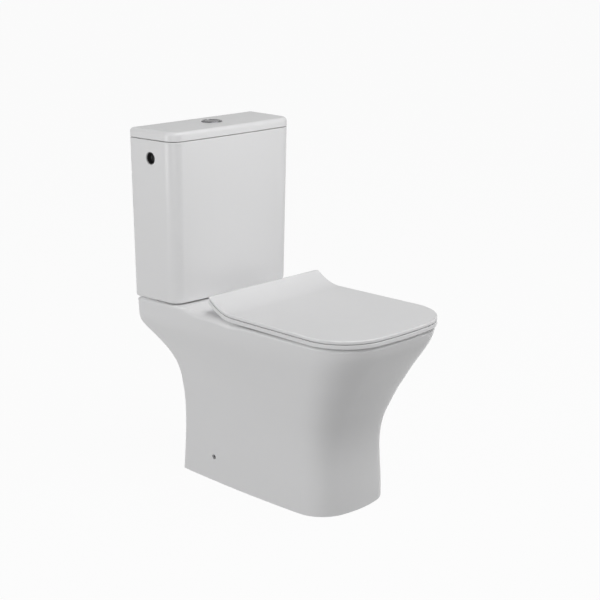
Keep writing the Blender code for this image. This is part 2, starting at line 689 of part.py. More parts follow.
def make_plugs():
    """Blanking plugs: a cup in each side inlet hole, held by a flange inside the tank."""
    z = TANK_TOP - SIDE_HOLE_DROP
    share = (z - TANK_Z) / (TANK_TOP - TANK_Z)
    outside = half_at(tank_half(share), from_back(SIDE_HOLE_AT))
    inside = half_at(tank_half(share, TANK_WALL), from_back(SIDE_HOLE_AT))
    mouth = outside - PLUG_INSET
    stem = SIDE_HOLE_RADIUS - GAP * 2
    flange = inside - PLUG_WALL
    profile = [(0.0, flange), (stem - PLUG_WALL, flange), (stem - PLUG_WALL, mouth),
               (stem, mouth), (stem, flange),
               (stem + PLUG_FLANGE, flange), (stem + PLUG_FLANGE, flange - PLUG_FLANGE_THICK),
               (0.0, flange - PLUG_FLANGE_THICK)]
    for side, sign in SIDES:
        turned("inlet_plug_" + side, profile, (0, from_back(SIDE_HOLE_AT), z), BLACK_PLASTIC,
               axis="X" if sign > 0 else "-X")


# ---------------------------------------------------------------- cistern to pan coupling
def make_coupling():
    nut_z = TANK_Z - VALVE_NUT_HIGH
    seal = WELL_RADIUS - SEAL_PLAY
    turned("coupling_seal", [(seal, TANK_Z - GAP), (seal, PLATFORM_Z - WELL_DEEP + GAP),
                             (VALVE_TAIL + SEAL_PLAY, PLATFORM_Z - WELL_DEEP + GAP),
                             (VALVE_TAIL + SEAL_PLAY, nut_z - GAP), (VALVE_NUT + GAP, nut_z - GAP),
                             (VALVE_NUT + GAP, TANK_Z - GAP)],
           (0, VALVE_Y, 0), RUBBER, FINE)
    under = PLATFORM_Z - DECK_THICK
    head = TANK_FLOOR_Z + WASHER_THICK + 2 * GAP
    for side, sign in SIDES:
        centre = (sign * TANK_BOLT_SPACING / 2, VALVE_Y, 0)
        hole = TANK_BOLT_RADIUS + SLIDE_FIT
        turned("tank_washer_" + side,
               washer(TANK_WASHER, hole, TANK_FLOOR_Z + GAP, TANK_FLOOR_Z + GAP + WASHER_THICK),
               centre, RUBBER, COARSE)
        turned("tank_bolt_" + side, [(0, head + TANK_BOLT_HEAD_HIGH),
                                     (TANK_BOLT_HEAD, head + TANK_BOLT_HEAD_HIGH), (TANK_BOLT_HEAD, head),
                                     (TANK_BOLT_RADIUS, head), (TANK_BOLT_RADIUS, under - TANK_BOLT_BELOW),
                                     (0, under - TANK_BOLT_BELOW)], centre, STEEL, COARSE)
        turned("pan_washer_" + side, washer(PAN_WASHER, hole, under - GAP - WASHER_THICK, under - GAP),
               centre, RUBBER, COARSE)
        wing_nut("tank_wing_nut_" + side, centre[0], VALVE_Y, under - 2 * GAP - WASHER_THICK, TANK_NUT, hole,
                 STEEL)


def wing_nut(name, x, y, top, radius, bore, material):
    """A round nut with two wings, its upper face at a height."""
    high = radius * 1.1
    nut = rod(name, (x, y, top - high / 2), radius, high, material=material, sides=COARSE)
    join(nut, block("add_wings_" + name, (x - radius * 2.2, y - WING_HALF, top - high * 1.3),
                    (x + radius * 2.2, y + WING_HALF, top - high * 0.3)))
    cut(nut, rod("cut_bore_" + name, (x, y, top - high / 2), bore, high * 4, sides=COARSE))
    return nut


# ---------------------------------------------------------------- flush valve
def make_flush_valve():
    centre = (0, VALVE_Y, 0)
    flange = TANK_FLOOR_Z + WASHER_THICK + 2 * GAP
    flange_top = flange + VALVE_FLANGE_THICK
    seat = flange + VALVE_SEAT_HIGH
    nut_z = TANK_Z - VALVE_NUT_HIGH
    turned("flush_valve_washer", washer(VALVE_FLANGE, VALVE_TAIL + SLIDE_FIT, TANK_FLOOR_Z + GAP,
                                        TANK_FLOOR_Z + GAP + WASHER_THICK), centre, RUBBER, MEDIUM)
    turned("flush_valve_base", [(VALVE_BORE + VALVE_SEAT_WALL, seat),
                                (VALVE_BORE + VALVE_SEAT_WALL, flange_top),
                                (VALVE_FLANGE, flange_top), (VALVE_FLANGE, flange), (VALVE_TAIL, flange),
                                (VALVE_TAIL, nut_z - VALVE_TAIL_BELOW),
                                (VALVE_BORE, nut_z - VALVE_TAIL_BELOW), (VALVE_BORE, seat)],
           centre, WHITE_PLASTIC, MEDIUM)
    turned("flush_valve_nut", washer(VALVE_NUT, VALVE_TAIL + SLIDE_FIT, nut_z, TANK_Z - GAP), centre,
           WHITE_PLASTIC, MEDIUM)
    seal_z = seat + GAP
    foot = seal_z + SEAL_THICK + GAP
    turned("flush_seal", washer(VALVE_BORE + SEAL_WIDE, OVERFLOW_STUB + GAP, seal_z, seal_z + SEAL_THICK),
           centre, RUBBER, MEDIUM)
    tower_top = TANK_TOP - TOWER_CLEAR
    tube_top = tower_top - OVERFLOW_BELOW
    plate = VALVE_BORE + OVERFLOW_FOOT
    bore = OVERFLOW_STUB - OVERFLOW_WALL
    turned("overflow_tube", [(OVERFLOW_RADIUS, tube_top), (OVERFLOW_RADIUS, foot + OVERFLOW_FOOT_THICK),
                             (plate, foot + OVERFLOW_FOOT_THICK), (plate, foot), (OVERFLOW_STUB, foot),
                             (OVERFLOW_STUB, foot - OVERFLOW_STUB_LONG), (bore, foot - OVERFLOW_STUB_LONG),
                             (bore, tube_top)], centre, GREY_PLASTIC, MEDIUM)
    floor = flange_top + GAP
    tower = turned("flush_valve_tower", [(TOWER_RADIUS, tower_top), (TOWER_RADIUS, floor),
                                         (TOWER_RADIUS - TOWER_WALL, floor),
                                         (TOWER_RADIUS - TOWER_WALL, tower_top - TOWER_RIM),
                                         (TOWER_MOUTH, tower_top - TOWER_RIM), (TOWER_MOUTH, tower_top)],
                   centre, WHITE_PLASTIC, MEDIUM)
    reach = TOWER_RADIUS * 2
    for name, half_x, half_y in (("cut_window_x", reach, TOWER_WINDOW_HALF),
                                ("cut_window_y", TOWER_WINDOW_HALF, reach)):
        cut(tower, block(name, (-half_x, VALVE_Y - half_y, floor + TOWER_WINDOW_LOW),
                         (half_x, VALVE_Y + half_y, floor + TOWER_WINDOW_HIGH)))


# ---------------------------------------------------------------- fill valve
def make_fill_valve():
    centre = (FILL_AT_X, from_back(FILL_AT), 0)
    flange = TANK_FLOOR_Z + WASHER_THICK + 2 * GAP
    head = TANK_TOP - FILL_HEAD_CLEAR
    tail = TANK_Z - FILL_TAIL_BELOW
    turned("fill_valve_washer", washer(FILL_NUT, FILL_TAIL + SLIDE_FIT, TANK_FLOOR_Z + GAP,
                                       TANK_FLOOR_Z + GAP + WASHER_THICK), centre, RUBBER, COARSE)
    turned("fill_valve_tube", [(FILL_TUBE, head - FILL_HEAD), (FILL_TUBE, flange + FILL_FLANGE_THICK),
                               (FILL_NUT, flange + FILL_FLANGE_THICK), (FILL_NUT, flange),
                               (FILL_TAIL, flange), (FILL_TAIL, tail), (FILL_BORE, tail),
                               (FILL_BORE, head - FILL_HEAD)],
           centre, WHITE_PLASTIC, COARSE)
    turned("fill_valve_nut",
           washer(FILL_NUT, FILL_TAIL + SLIDE_FIT, TANK_Z - GAP - FILL_NUT_HIGH, TANK_Z - GAP),
           centre, WHITE_PLASTIC, COARSE)
    turned("fill_valve_head", [(0, head), (FILL_HEAD_RADIUS - FILL_HEAD_EDGE, head),
                               (FILL_HEAD_RADIUS, head - 2 * FILL_HEAD_EDGE),
                               (FILL_HEAD_RADIUS, head - FILL_HEAD + 1.5 * FILL_HEAD_EDGE),
                               (FILL_HEAD_FOOT, head - FILL_HEAD + GAP), (0, head - FILL_HEAD + GAP)],
           centre, BLACK_PLASTIC, MEDIUM)
    low = head - FILL_HEAD - FLOAT_TRAVEL - FLOAT_HIGH - FLOAT_CLEAR
    bore = FILL_TUBE + 2 * SLIDE_FIT
    high = low + FLOAT_HIGH
    inside = FLOAT_RADIUS - FLOAT_WALL
    turned("float_cup", [(inside, high), (FLOAT_RADIUS, high - FLOAT_WALL), (FLOAT_RADIUS, low),
                         (inside, low), (inside, high - 2 * FLOAT_WALL),
                         (bore + FLOAT_WALL, high - 2 * FLOAT_WALL), (bore + FLOAT_WALL, low), (bore, low),
                         (bore, high)],
           centre, WHITE_PLASTIC, MEDIUM)


# ---------------------------------------------------------------- flush button
def make_button():
    centre = (0, VALVE_Y, 0)
    top = HEIGHT + BUTTON_PROUD
    end = HEIGHT - BEZEL_LONG
    turned("button_bezel", [(BUTTON_BORE, top), (BUTTON_RADIUS - BUTTON_EDGE, top),
                            (BUTTON_RADIUS, top - BUTTON_EDGE), (BUTTON_RADIUS, HEIGHT + GAP),
                            (BUTTON_TUBE, HEIGHT + GAP), (BUTTON_TUBE, end),
                            (BUTTON_BORE - BEZEL_STEP, end), (BUTTON_BORE - BEZEL_STEP, end + BEZEL_STEP),
                            (BUTTON_BORE, end + BEZEL_STEP)], centre, CHROME, MEDIUM)
    nut_top = HEIGHT - LID_WALL - GAP
    turned("button_nut", washer(BUTTON_RADIUS + BUTTON_NUT_WIDE, BUTTON_TUBE + GAP,
                                nut_top - BUTTON_NUT_HIGH, nut_top), centre, WHITE_PLASTIC, MEDIUM)
    radius = BUTTON_BORE - SLIDE_FIT
    face = HEIGHT + BUTTON_PROUD - BUTTON_RECESS
    reach = 2 * radius
    tall = 3 * BUTTON_HIGH
    halves = (("full_flush", BUTTON_SPLIT - SLIDE_FIT / 2, reach, -BUTTON_SPLIT),
              ("half_flush", -reach, BUTTON_SPLIT + SLIDE_FIT / 2, (BUTTON_SPLIT + radius) / 2))
    for name, low, high, rod_x in halves:
        button = turned(name + "_button", [(0, face), (radius * 0.7, face - BUTTON_DISH),
                                           (radius - BUTTON_EDGE, face - 3 * BUTTON_DISH),
                                           (radius, face - 2 * BUTTON_EDGE),
                                           (radius, face - BUTTON_HIGH), (0, face - BUTTON_HIGH)],
                        centre, CHROME, MEDIUM)
        cut(button, block("cut_" + name, (low, VALVE_Y - reach, face - tall),
                          (high, VALVE_Y + reach, face + tall)))
        top = face - BUTTON_HIGH - GAP
        bottom = TANK_TOP - TOWER_CLEAR - ROD_BELOW
        rod(name + "_rod", (rod_x, VALVE_Y, (top + bottom) / 2), ROD_RADIUS, top - bottom,
            material=WHITE_PLASTIC, sides=COARSE)


# ---------------------------------------------------------------- seat
def ramp(y):
    """Rise of the seat's ring and lid towards the hinges."""
    t = (y - from_back(RAMP_START)) / RAMP_RUN
    t = min(max(t, 0.0), 1.0)
    return RAMP_RISE * t * t


RAMP_STATIONS = tuple(RAMP_START - RAMP_RUN * share for share in (0.78, 0.62, 0.46, 0.30, 0.15, 0.0))


def seat_half(back, inset=0.0):
    return plan_half(SEAT_BACK_HALF - inset, SEAT_HALF - inset, from_back(back), FRONT_Y + inset,
                     SEAT_BACK_CORNER, SEAT_CORNER - inset, SEAT_BOW, stations=RAMP_STATIONS, arc=8)


def sloped(z):
    return lambda y: z + ramp(y)


def knuckle(name, x0, x1, plate_top):
    """Hinge knuckle round the axis with a web up into its plate."""
    middle = (x0 + x1) / 2
    long = abs(x1 - x0)
    body = rod("add_knuckle_" + name, (middle, HINGE_Y, HINGE_Z), KNUCKLE_RADIUS, long, "X")
    web = block("add_web_" + name, (middle - long / 2, HINGE_Y + plate_top[0], HINGE_Z - 0.003),
                (middle + long / 2, HINGE_Y + plate_top[1], HINGE_Z + plate_top[2]))
    return body, web


def bore_knuckle(piece, name, near, far, damper_near, damper_far):
    """Pin hole through the cheek, and the wider pocket of the damper behind it."""
    x = sorted((near, far))
    d = sorted((damper_near, damper_far))
    cut(piece, rod("cut_pin_" + name, (sum(x) / 2, HINGE_Y, HINGE_Z), PIN_RADIUS + SLIDE_FIT,
                   x[1] - x[0] + 4 * POCKET_PLAY, "X", sides=COARSE),
        rod("cut_damper_" + name, (sum(d) / 2, HINGE_Y, HINGE_Z), DAMPER_RADIUS + SLIDE_FIT, d[1] - d[0], "X",
            sides=COARSE))


def make_seat():
    ring = loft("seat_ring", [seat_half(RING_BACK, RING_EDGE), seat_half(RING_BACK), seat_half(RING_BACK)],
                [sloped(RING_Z), sloped(RING_Z + RING_EDGE), sloped(RING_TOP)], SEAT_PLASTIC)
    hole = plan_half(RING_HOLE_HALF, RING_HOLE_HALF, from_back(RING_HOLE_BACK), FRONT_Y + RING_HOLE_FRONT,
                     RING_HOLE_BACK_CORNER, RING_HOLE_CORNER, BOWL_BOW)
    cut(ring, loft("cut_ring_hole", [hole, hole], [level(RIM_Z), level(RING_TOP + 3 * CUT_PAST)]))
    inner = HINGE_SPACING / 2 + BARREL_HALF
    notch = HINGE_AT + KNUCKLE_RADIUS + NOTCH_PLAY
    cut(ring, block("cut_ring_notch", (-inner, from_back(notch), RIM_Z),
                    (inner, BACK_Y, RING_TOP + RAMP_RISE + CUT_PAST)))
    lid = loft("seat_lid", [seat_half(SEAT_BACK, RING_EDGE), seat_half(SEAT_BACK), seat_half(SEAT_BACK),
                            seat_half(SEAT_BACK, LID_TOP_EDGE * 0.3), seat_half(SEAT_BACK, LID_TOP_EDGE)],
               [sloped(SEAT_LID_Z), sloped(SEAT_LID_Z + RING_EDGE),
                sloped(SEAT_LID_Z + SEAT_LID_THICK - LID_TOP_EDGE),
                sloped(SEAT_LID_Z + SEAT_LID_THICK - LID_TOP_EDGE * 0.3),
                sloped(SEAT_LID_Z + SEAT_LID_THICK)], SEAT_PLASTIC)
    for side, sign in SIDES:
        near = HINGE_SPACING / 2 + BARREL_HALF + KNUCKLE_GAP
        far = SEAT_BACK_HALF - KNUCKLE_END
        pocket = near + KNUCKLE_CHEEK
        join(ring, *knuckle("ring_" + side, sign * near, sign * far, (-0.011, -0.002, 0.0055)))
        bore_knuckle(ring, "ring_" + side, sign * near, sign * (pocket - POCKET_PLAY), sign * pocket,
                     sign * (pocket + DAMPER_LONG + 2 * POCKET_PLAY))
        rod("ring_damper_" + side, (sign * (pocket + POCKET_PLAY + DAMPER_LONG / 2), HINGE_Y, HINGE_Z),
            DAMPER_RADIUS, DAMPER_LONG, "X", BLACK_PLASTIC, COARSE)
        near = HINGE_SPACING / 2 - BARREL_HALF - KNUCKLE_GAP
        pocket = near - KNUCKLE_CHEEK
        far = pocket - DAMPER_LONG - 2 * POCKET_PLAY
        join(lid, *knuckle("lid_" + side, sign * near, sign * far, (-0.006, 0.006, 0.0155)))
        bore_knuckle(lid, "lid_" + side, sign * near, sign * (pocket + POCKET_PLAY), sign * pocket,
                     sign * (far - 4 * POCKET_PLAY))
        rod("lid_damper_" + side, (sign * (pocket - POCKET_PLAY - DAMPER_LONG / 2), HINGE_Y, HINGE_Z),
            DAMPER_RADIUS, DAMPER_LONG, "X", BLACK_PLASTIC, COARSE)
        pin_half = BARREL_HALF + KNUCKLE_GAP + KNUCKLE_CHEEK - SLIDE_FIT
        rod("hinge_pin_" + side, (sign * HINGE_SPACING / 2, HINGE_Y, HINGE_Z), PIN_RADIUS, 2 * pin_half, "X",
            STEEL, COARSE)
        cut(lid, rod("cut_buffer_" + side, (sign * LID_BUFFER_X, from_back(LID_BUFFER_AT), SEAT_LID_Z),
                     BUFFER_RADIUS + GAP, 2 * LID_BUFFER_THICK, sides=COARSE))
        rod("lid_buffer_" + side,
            (sign * LID_BUFFER_X, from_back(LID_BUFFER_AT), SEAT_LID_Z + LID_BUFFER_SINK),
            BUFFER_RADIUS, LID_BUFFER_THICK, material=RUBBER, sides=COARSE)
        for row, at in (("rear", RING_BUFFER_REAR), ("front", RING_BUFFER_FRONT)):
            rod("ring_buffer_" + row + "_" + side,
                (sign * LID_BUFFER_X, from_back(at), RIM_Z + BUFFER_GAP / 2), BUFFER_RADIUS,
                BUFFER_GAP - 2 * GAP, material=RUBBER, sides=COARSE)


# ---------------------------------------------------------------- hinge posts and seat fixings
def make_hinges():
    under = PLATFORM_Z - DECK_THICK
    for side, sign in SIDES:
        x = sign * HINGE_SPACING / 2
        post = rod("hinge_post_" + side, (x, HINGE_Y, PLATFORM_Z + GAP + POST_DISC / 2), POST_RADIUS,
                   POST_DISC, material=CHROME)
        join(post, rod("add_neck_" + side, (x, HINGE_Y, PLATFORM_Z + (POST_DISC + HINGE_LIFT) / 2), POST_NECK,
                       HINGE_LIFT - POST_DISC / 2, sides=COARSE),
             rod("add_barrel_" + side, (x, HINGE_Y, HINGE_Z), BARREL_RADIUS, 2 * BARREL_HALF, "X"))
        cut(post, rod("cut_barrel_" + side, (x, HINGE_Y, HINGE_Z), PIN_RADIUS + SLIDE_FIT, 4 * BARREL_HALF,
                      "X", sides=COARSE),
            rod("cut_socket_" + side, (x, HINGE_Y, PLATFORM_Z), SEAT_BOLT_RADIUS + SLIDE_FIT, 2 * POST_DISC,
                sides=COARSE))
        top = PLATFORM_Z + SEAT_BOLT_ABOVE
        end = under - SEAT_BOLT_BELOW
        rod("seat_bolt_" + side, (x, HINGE_Y, (top + end) / 2), SEAT_BOLT_RADIUS, top - end, material=STEEL,
            sides=COARSE)
        turned("seat_bush_" + side, washer(SEAT_BOLT_HOLE - 2 * GAP, SEAT_BOLT_RADIUS + GAP,
                                           under + SEAT_BUSH_SHORT, PLATFORM_Z - SEAT_BUSH_SHORT),
               (x, HINGE_Y, 0), RUBBER, COARSE)
        wing_nut("seat_nut_" + side, x, HINGE_Y, under - GAP, SEAT_NUT, SEAT_BOLT_RADIUS + SLIDE_FIT,
                 WHITE_PLASTIC)


# ---------------------------------------------------------------- floor fixings
def make_floor_fixings():
    y = from_back(SIDE_FIX_AT)
    outside = half_at(pan_half(SIDE_FIX_Z), y)
    rear_inside = half_at(pan_half(SIDE_FIX_Z, PAN_WALL), y + BRACKET_HALF)
    face = rear_inside - BRACKET_PLAY
    for side, sign in SIDES:
        def span(x0, x1):
            return sorted((sign * x0, sign * x1))
        upright = span(face - BRACKET_THICK, face)
        foot = span(face - BRACKET_FOOT, face)
        bracket = block("floor_bracket_" + side, (upright[0], y - BRACKET_HALF, 0.0),
                        (upright[1], y + BRACKET_HALF, SIDE_FIX_Z + BRACKET_ABOVE), NYLON)
        join(bracket, block("add_foot_" + side, (foot[0], y - BRACKET_HALF, 0.0),
                            (foot[1], y + BRACKET_HALF, BRACKET_THICK)))
        hole_x = sign * (face - BRACKET_FOOT * 0.62)
        cut(bracket, rod("cut_side_screw_" + side, (sign * face, y, SIDE_FIX_Z), BRACKET_SCREW_HOLE, 0.04,
                         "X", sides=COARSE),
            rod("cut_floor_screw_" + side, (hole_x, y, 0.0), BRACKET_SCREW_HOLE, 0.04, sides=COARSE))
        head = outside - SCREW_SINK
        tip = face - 2 * BRACKET_THICK
        neck = head - SCREW_HEAD_HIGH
        turned("side_screw_" + side, [(0, head), (SCREW_HEAD_WIDER * SCREW_RADIUS, head),
                                      (SCREW_HEAD_WIDER * SCREW_RADIUS, neck), (SCREW_RADIUS, neck),
                                      (SCREW_RADIUS, tip), (0, tip)],
               (0, y, SIDE_FIX_Z), BLACK_PLASTIC, COARSE, "X" if sign > 0 else "-X")
        under = BRACKET_THICK + GAP
        turned("floor_screw_" + side, [(0, under + FLOOR_HEAD_HIGH),
                                       (FLOOR_HEAD_WIDER * SCREW_RADIUS, under + FLOOR_HEAD_EDGE),
                                       (FLOOR_HEAD_WIDER * SCREW_RADIUS, under),
                                       (SCREW_RADIUS, under), (SCREW_RADIUS, GAP),
                                       (0, GAP)], (hole_x, y, 0), STEEL, COARSE)


# ---------------------------------------------------------------- moving pieces hang on their joints
def hang(joint, place, names, parent=None):
    """Parent pieces to an empty on their joint's axis, keeping them where they are."""
    empty = bpy.data.objects.new(joint, None)
    PARTS.objects.link(empty)
    empty.matrix_world = Matrix.Translation(place)
    if parent is not None:
        empty.parent = parent
        empty.matrix_parent_inverse = Matrix.Translation(parent.matrix_world.translation).inverted()
    for name in names:
        piece = bpy.data.objects[name]
        piece.parent = empty
        piece.matrix_parent_inverse = Matrix.Translation(place).inverted()
    return empty


def both(*stems):
    return [stem + "_" + side for stem in stems for side, _ in SIDES]


def hang_moving_pieces():
    hinge = (0, HINGE_Y, HINGE_Z)
    ring = hang("seat_ring_hinge", hinge,
                ["seat_ring"] + both("ring_damper", "ring_buffer_rear", "ring_buffer_front"))
    hang("seat_lid_hinge", hinge, ["seat_lid"] + both("lid_damper", "lid_buffer"), ring)
    cistern_lid = hang("cistern_lid_lift", (0, VALVE_Y, LID_Z), ["cistern_lid", "button_bezel", "button_nut"])
    for press in ("full_flush", "half_flush"):
        hang(press + "_press", (0, VALVE_Y, HEIGHT), [press + "_button", press + "_rod"], cistern_lid)
    hang("flush_piston_lift", (0, VALVE_Y, TANK_FLOOR_Z), ["overflow_tube", "flush_seal"])
    hang("float_rise", (FILL_AT_X, from_back(FILL_AT), TANK_FLOOR_Z), ["float_cup"])


make_pan()
make_tank()
make_cistern_lid()
make_plugs()
make_coupling()
make_flush_valve()
make_fill_valve()
make_button()
make_seat()
make_hinges()
make_floor_fixings()
hang_moving_pieces()
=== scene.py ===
"""Looks for the close coupled toilet: fine ceramic, seat and button pieces round the CAD frame."""
import json
import math

import bmesh
import bpy
import numpy as np
from mathutils import Matrix, Vector


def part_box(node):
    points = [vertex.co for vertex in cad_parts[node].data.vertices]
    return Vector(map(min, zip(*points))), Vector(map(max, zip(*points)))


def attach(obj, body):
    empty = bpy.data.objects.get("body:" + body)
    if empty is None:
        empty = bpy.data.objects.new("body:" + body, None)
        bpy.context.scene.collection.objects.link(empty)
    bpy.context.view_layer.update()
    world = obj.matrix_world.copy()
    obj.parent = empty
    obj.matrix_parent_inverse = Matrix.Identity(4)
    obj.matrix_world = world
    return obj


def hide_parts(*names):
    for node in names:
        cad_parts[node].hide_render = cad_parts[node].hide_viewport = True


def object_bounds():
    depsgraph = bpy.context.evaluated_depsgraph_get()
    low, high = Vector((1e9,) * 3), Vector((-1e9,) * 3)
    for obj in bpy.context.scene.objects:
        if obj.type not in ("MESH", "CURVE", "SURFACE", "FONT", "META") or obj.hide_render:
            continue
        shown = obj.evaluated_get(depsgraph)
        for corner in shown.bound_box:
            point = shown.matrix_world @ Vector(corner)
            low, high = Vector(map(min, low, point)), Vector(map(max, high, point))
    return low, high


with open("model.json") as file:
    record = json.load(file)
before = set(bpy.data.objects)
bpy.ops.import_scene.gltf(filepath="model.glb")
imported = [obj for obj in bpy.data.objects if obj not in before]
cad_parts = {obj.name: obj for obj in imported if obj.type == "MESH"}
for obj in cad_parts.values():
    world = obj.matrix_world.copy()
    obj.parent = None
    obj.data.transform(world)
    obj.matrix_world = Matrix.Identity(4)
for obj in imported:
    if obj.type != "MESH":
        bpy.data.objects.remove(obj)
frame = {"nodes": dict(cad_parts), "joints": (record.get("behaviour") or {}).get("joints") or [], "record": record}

CAD_LOW, CAD_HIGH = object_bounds()

# ---------------------------------------------------------------- places read from the frame
BACK_Y = CAD_HIGH.y
FRONT_Y = CAD_LOW.y
TANK_LOW, TANK_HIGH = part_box("cistern_tank")
BEZEL_LOW, BEZEL_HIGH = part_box("button_bezel")
PLATFORM_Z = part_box("pan")[1].z
RING_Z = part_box("seat_ring")[0].z
TANK_Z = TANK_LOW.z
TANK_TOP = TANK_HIGH.z
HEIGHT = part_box("cistern_lid")[1].z
VALVE_Y = (BEZEL_LOW.y + BEZEL_HIGH.y) / 2
_, HINGE_Y, HINGE_Z = next(j for j in frame["joints"] if j["name"] == "seat_ring_hinge")["pos_m"]

# ---------------------------------------------------------------- shape of the ceramic and the seat, metres
THROUGH = 0.05                  # how far a cutter runs past what it opens
DECK_RISE = 0.007
RIM_Z = PLATFORM_Z - DECK_RISE
PAN_WALL = 0.012
DECK_THICK = 0.013
TANK_WALL = 0.010
TANK_FLOOR_THICK = 0.014
TANK_FLOOR_Z = TANK_Z + TANK_FLOOR_THICK

RIM_HALF = 0.1715
RIM_SETBACK = 0.0045
RIM_CORNER = 0.107
RIM_BOW = 0.003
FOOT_HALF = 0.1185
FOOT_SETBACK = 0.114
FOOT_CORNER = 0.078
FOOT_BOW = 0.006
FOOT_BULGE = 0.005
SKIRT_REAR_HALF = 0.109
SKIRT_REAR = 0.085
SHELF_HALF = 0.18105
RIM_FILLET = 0.006
SHELF_FILLET_MORE = 0.009       # the deck's side edge between tank and seat is this much softer
SOFT_FROM = (0.150, 0.200)      # behind the tank's front, distances from the wall side
SOFT_TO = (0.290, 0.350)
DECK_SLOPE_START = 0.265
DECK_SLOPE_END = 0.325
FLARE = ((0.0, -0.03), (0.15, -0.045), (0.31, -0.072), (0.42, -0.03), (0.49, 0.045), (0.56, 0.16),
         (0.64, 0.30), (0.71, 0.45), (0.785, 0.61), (0.86, 0.79), (0.92, 0.92), (0.965, 0.985), (1.0, 1.0))
NECK = ((0.0, 0.07), (0.15, 0.035), (0.32, 0.013), (0.44, 0.028), (0.54, 0.075), (0.615, 0.14),
        (0.69, 0.28), (0.785, 0.57), (0.835, 0.75), (0.88, 0.89), (0.94, 0.935), (1.0, 0.945))

BOWL_BACK = 0.318
BOWL_HALF = 0.118
BOWL_RIM = 0.056
BOWL_CORNER = 0.085
BOWL_BACK_CORNER = 0.060
BOWL_WALL = 0.011
BOWL_LIP = 0.006
SUMP_HALF = 0.046
SUMP_Z = 0.130
SUMP_BACK = 0.300
SUMP_FRONT = 0.405
OUTLET_Z = 0.185
OUTLET_END = 0.030
TRAP_BORE = 0.037
TRAP_WALL = 0.012
CROWN_Z = 0.262
CROWN_AT = 0.225
DUCT_HALF = 0.024
DUCT_HIGH = 0.026
DUCT_WALL = 0.009
WELL_RADIUS = 0.050
WELL_DEEP = 0.030
WELL_SINK = 0.004
INLET_RADIUS = 0.030
FILL_NUT_PLAY = 0.003
TANK_BOLT_HOLE = 0.0065
SEAT_BOLT_HOLE = 0.007
SIDE_FIXING_HOLE = 0.0058

TANK_DEPTH = 0.1439
TANK_BOW = 0.0025
TANK_BASE_NARROW = 0.00495
TANK_BASE_SHALLOW = 0.0076
TANK_BASE_BOW = 0.005
TANK_SIDE_TAPER = 0.0395
TANK_FRONT_RADIUS = 0.030
TANK_BACK_RADIUS = 0.010
TANK_EDGE = 0.005
VALVE_HOLE = 0.0315
FILL_HOLE = 0.0115
SIDE_INLET_HOLE = 0.014
BUTTON_HOLE = 0.0205
MOUTH_EDGE = 0.0008
MOUTH_DROP = 0.0008             # the glazed mouth's edge below the highest point
LID_WALL = 0.010
LID_EDGE = 0.009
LIP_DROP = 0.007
LIP_WALL = 0.005
LIP_PLAY = 0.002
LID_REST = 0.0008               # the lid's lower edge over the tank's mouth

SEAT_HALF = 0.1755
SEAT_BACK_HALF = 0.171
SEAT_CORNER = 0.110
SEAT_BOW = 0.003
SEAT_BACK = 0.2325
SEAT_BACK_CORNER = 0.008
RING_BACK = 0.248
RAMP_START = 0.310
RAMP_RUN = 0.070
RAMP_RISE = 0.0262
RING_THICK = 0.0098
RING_THINNER = 0.0007           # opens the seam under the lid
RING_LOW_EDGE = 0.0010
RING_TOP_EDGE = 0.0014
SEAT_GAP = 0.0008
SEAT_LID_THICK = 0.0074
LID_LOW_EDGE = 0.0010
LID_TOP_EDGE = 0.0028
LID_BACK_EDGE = 0.0045
RING_HOLE_HALF = 0.104
RING_HOLE_BACK = 0.332
RING_HOLE_FRONT = 0.074
RING_HOLE_CORNER = 0.085
RING_HOLE_BACK_CORNER = 0.050
RING_HOLE_EDGE = 0.004
HINGE_SPACING = 0.155
POST_HALF = 0.012
POST_PLAY = 0.001
KNUCKLE = 0.009
KNUCKLE_PLAY = 0.0015
LID_KNUCKLE_LONG = 0.053
PIN_BORE = 0.0041
PIN_PLAY = 0.002
DAMPER_BORE = 0.0067
RING_DAMPER_LONG = 0.040
LID_DAMPER_LONG = 0.044
BUFFER_BORE = 0.0083
BUFFER_BORE_DEEP = 0.004
CORNER_SWEEP = 0.0148           # the ring's rear corners stay inside this radius of the hinge axis
POST_NECK = 0.0065
POST_BARREL = 0.008
BOLT_SOCKET = 0.0045

BEZEL_RADIUS = 0.0240
BEZEL_TUBE = 0.0200
BEZEL_BORE = 0.0185
BUTTON_PLAY = 0.0005
BUTTON_SPLIT = 0.006            # the line between the two buttons, right of the middle
BUTTON_DISH = 0.0010
PLUG_STEM = 0.0134


def from_back(distance):
    """Y of a point this far in front of the wall side of the cistern."""
    return BACK_Y - distance


def smooth_step(value, start, end):
    """0 to 1 between two values, level at both."""
    t = min(max((value - start) / (end - start), 0.0), 1.0)
    return t * t * (3 - 2 * t)


def centre_of(node):
    low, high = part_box(node)
    return (low + high) / 2


# ---------------------------------------------------------------- mesh helpers
def spline(table):
    """Natural cubic spline through a table of (x, y), as a function."""
    x = np.array([p[0] for p in table])
    y = np.array([p[1] for p in table])
    h = np.diff(x)
    n = len(x)
    a = np.eye(n)
    b = np.zeros(n)
    for i in range(1, n - 1):
        a[i, i - 1:i + 2] = h[i - 1], 2 * (h[i - 1] + h[i]), h[i]
        b[i] = 6 * ((y[i + 1] - y[i]) / h[i] - (y[i] - y[i - 1]) / h[i - 1])
    m = np.linalg.solve(a, b)

    def value(at):
        at = min(max(at, x[0]), x[-1])
        i = min(int(np.searchsorted(x, at, side="right")) - 1, n - 2)
        u, v = x[i + 1] - at, at - x[i]
        return float((m[i] * u**3 + m[i + 1] * v**3) / (6 * h[i]) + (y[i] / h[i] - m[i] * h[i] / 6) * u
                     + (y[i + 1] / h[i] - m[i + 1] * h[i] / 6) * v)
    return value


flare_at = spline(FLARE)
neck_at = spline(NECK)


